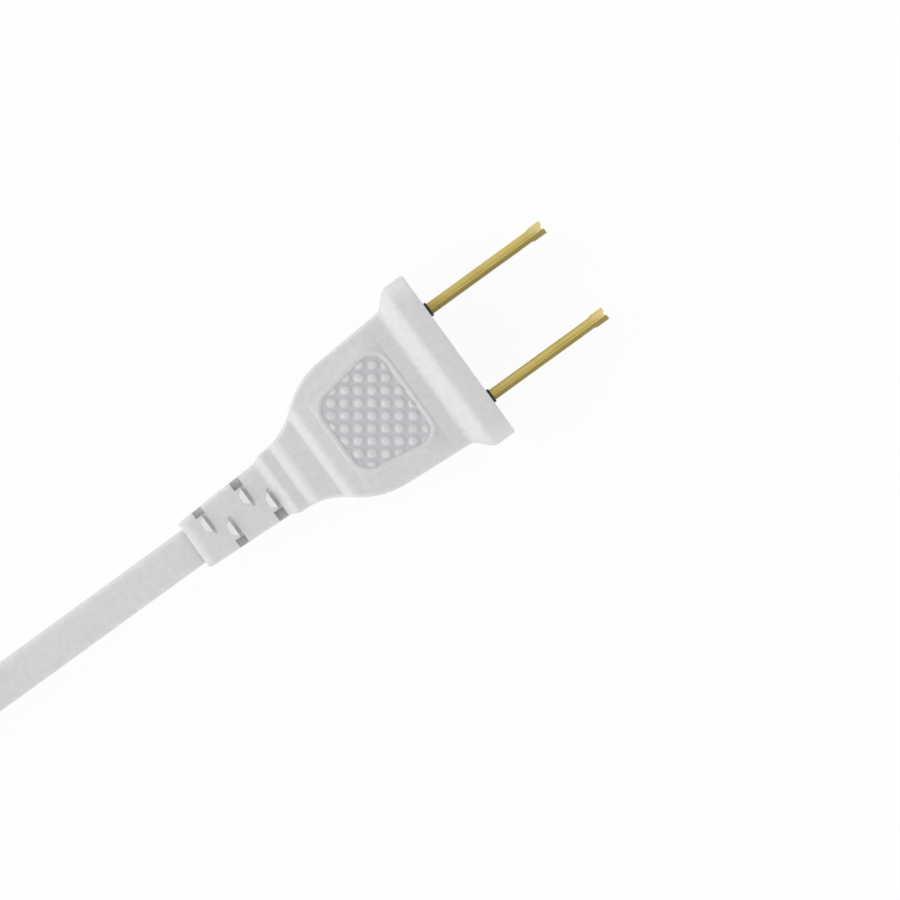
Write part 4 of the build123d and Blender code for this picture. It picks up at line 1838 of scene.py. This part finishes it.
@dataclass
class Studio:
    """Camera, floor and light: the photograph's view from straight above, on a white floor."""

    view_width: float = 0.10742
    view_middle: Span = (0.003424, -0.008697)
    view_turn: float = -36.0
    subject_z: float = 0.00725
    camera_height: float = 1.0
    sensor: float = 36.0
    floor_size: float = 3.0
    floor_colour: Colour = (0.93, 0.93, 0.93)
    floor_glow: float = 0.92
    white_level: float = 1.0
    tent_top: float = 0.63
    tent_side: float = 2.7
    tent_power: float = 4.0
    key_strength: float = 1.2
    key_softness: float = 60.0
    key_elevation: float = 35.0
    key_azimuth: float = 165.0

    def camera(self) -> None:
        """Set the camera over the plug."""
        data = bpy.data.cameras.new("camera")
        data.sensor_width = self.sensor
        data.lens = self.sensor * self.camera_height / self.view_width
        obj = bpy.data.objects.new("camera", data)
        obj.location = (*self.view_middle, self.subject_z + self.camera_height)
        obj.rotation_euler = (0.0, 0.0, math.radians(self.view_turn))
        bpy.context.scene.collection.objects.link(obj)
        bpy.context.scene.camera = obj

    def floor(self) -> None:
        """Lay a white floor that shows white to the camera and still takes a soft shadow."""
        obj = Bench.plane(self.floor_size, self.floor_size, (0.0, 0.0, 0.0))
        obj.name = "floor"
        tree = ShaderTree.new("floor_white")
        cloth = tree.add("ShaderNodeBsdfDiffuse", {}, {"Color": opaque(self.floor_colour)})
        inputs = {"Color": opaque(WHITE), "Strength": self.white_level}
        glow = tree.add("ShaderNodeEmission", {}, inputs)
        tree.show("ShaderNodeOutputMaterial", self.floor_glow * tree.seen(), (cloth, glow))
        Bench.dress(obj, tree.owner)

    def tent(self) -> None:
        """Hang a white tent that is brighter at its sides than at its top, and plain white where it shows."""
        bpy.context.scene.world = bpy.data.worlds.new("studio")
        tree = ShaderTree(bpy.context.scene.world)
        towards = tree.output(tree.add("ShaderNodeTexCoord", {}, {}), "Generated")
        height = tree.output(tree.add("ShaderNodeSeparateXYZ", {}, {0: towards}), 2)
        strength = self.tent_top + self.tent_side * (1.0 - abs(height)) ** self.tent_power
        sheets = []
        for level in (strength, self.white_level):
            sheets.append(tree.add("ShaderNodeBackground", {}, {"Color": opaque(WHITE), "Strength": level}))
        tree.show("ShaderNodeOutputWorld", tree.seen(), sheets)

    def key(self) -> None:
        """Set one soft key light."""
        data = bpy.data.lights.new("key", "SUN")
        data.energy = self.key_strength
        data.angle = math.radians(self.key_softness)
        lamp = bpy.data.objects.new("key", data)
        elevation, azimuth = math.radians(self.key_elevation), math.radians(self.key_azimuth)
        towards = Vector((math.cos(azimuth), math.sin(azimuth), math.tan(elevation)))
        lamp.rotation_euler = towards.to_track_quat("Z", "Y").to_euler()
        bpy.context.scene.collection.objects.link(lamp)

    def build(self) -> None:
        """Set up the camera, the floor, the tent and the key."""
        self.camera()
        self.floor()
        self.tent()
        self.key()
        bpy.context.scene.view_settings.view_transform = "Standard"


GREY = linear(203, 203, 203)
FINISHES: dict[Slot, Finish] = {
    Slot.GREY_VINYL: MouldedFinish(GREY),
    Slot.CORD_VINYL: SheathFinish(linear(205, 205, 205)),
    Slot.BLACK_RESIN: MouldedFinish(linear(38, 37, 36), roughness=0.5),
    Slot.PALE_RESIN: MouldedFinish(linear(204, 203, 198), roughness=0.45),
    Slot.BLADE_BRASS: MetalFinish(linear(196, 176, 107), linear(150, 130, 72)),
    Slot.COPPER: MetalFinish(linear(202, 122, 82), linear(150, 84, 52), metallic=0.9),
    Slot.CORE_VINYL: SheathFinish(linear(236, 234, 228)),
    Slot.TIE_RUBBER: RubberFinish(linear(52, 52, 54)),
}
GRIP_FINISH = GripFinish(GREY)
BLADE_FINISH = BladeFinish(linear(198, 179, 102), linear(163, 142, 74), metallic=0.6)
BLADE_NODES = pair("plug_blade")
CARRIED_NODES: dict[Slot, tuple[str, ...]] = {
    Slot.BLACK_RESIN: ("plug_insert",),
    Slot.PALE_RESIN: ("socket_insert",),
    Slot.BLADE_BRASS: pair("socket_contact"),
    Slot.COPPER: pair("plug_strands") + pair("socket_strands"),
    Slot.CORE_VINYL: pair("plug_core") + pair("socket_core"),
}


class ExtensionLead:
    """The whole lead: builds each piece, dresses it and ties it to the frame."""

    def __init__(self) -> None:
        """Make one material for each slot."""
        self.materials = {slot: finish.material(slot.value) for slot, finish in FINISHES.items()}

    def keep(self, obj: bpy.types.Object, slot: Slot, *nodes: str) -> None:
        """Dress a new piece and say which nodes it stands for.

        Args:
            obj: The piece.
            slot: Its material slot.
            nodes: CAD nodes that it replaces.
        """
        Bench.dress(obj, self.materials[slot])
        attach(obj, BODY)
        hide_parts(*nodes)
        log.info("%s replaces %s", obj.name, ", ".join(nodes))

    def dress_nodes(self) -> None:
        """Give the CAD nodes that stay their finishes."""
        dressed = [(names, self.materials[slot]) for slot, names in CARRIED_NODES.items()]
        dressed.append((BLADE_NODES, BLADE_FINISH.material("folded_brass")))
        for names, material in dressed:
            for name in names:
                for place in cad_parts[name].material_slots:
                    place.material = material
                log.info("%s keeps its shape, in %s", name, material.name)

    def plug(self) -> None:
        """Build the plug's moulding in its place."""
        moulding = PlugMoulding()
        obj = moulding.build("plug_moulding")
        GripPanel().press(obj, moulding.body_thickness / 2)
        low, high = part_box("plug_body")
        moulding.set_down(obj, (high[0], 0.0, (low[2] + high[2]) / 2), 0.0)
        self.keep(obj, Slot.GREY_VINYL, "plug_body")
        Bench.dress(obj, GRIP_FINISH.material("grip_vinyl"))

    def socket(self) -> bpy.types.Object:
        """Build the socket's moulding in its place.

        Returns:
            The moulding.
        """
        moulding = SocketMoulding()
        obj = moulding.build("socket_moulding")
        low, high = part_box("socket_body")
        moulding.set_down(obj, (low[0], 0.0, (low[2] + high[2]) / 2), 180.0)
        self.keep(obj, Slot.GREY_VINYL, "socket_body")
        return obj

    def cord(self, socket: bpy.types.Object) -> None:
        """Lay the cord and its tie.

        Args:
            socket: The socket's moulding, which is on the cord's far end; not used.
        """
        flat = FlatCord()
        cord = flat.build("flat_cord")
        self.keep(cord, Slot.CORD_VINYL, "cord_lead", "cord_hank", "cord_tail")
        tie = HankTie().build("hank_strap")
        self.keep(tie, Slot.TIE_RUBBER, "hank_tie")


def main() -> None:
    """Build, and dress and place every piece."""
    logging.basicConfig(level=logging.INFO, format="%(name)s: %(message)s")
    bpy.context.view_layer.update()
    Studio().build()
    lead = ExtensionLead()
    lead.dress_nodes()
    lead.plug()
    lead.cord(lead.socket())


if __name__ == "__main__":
    main()
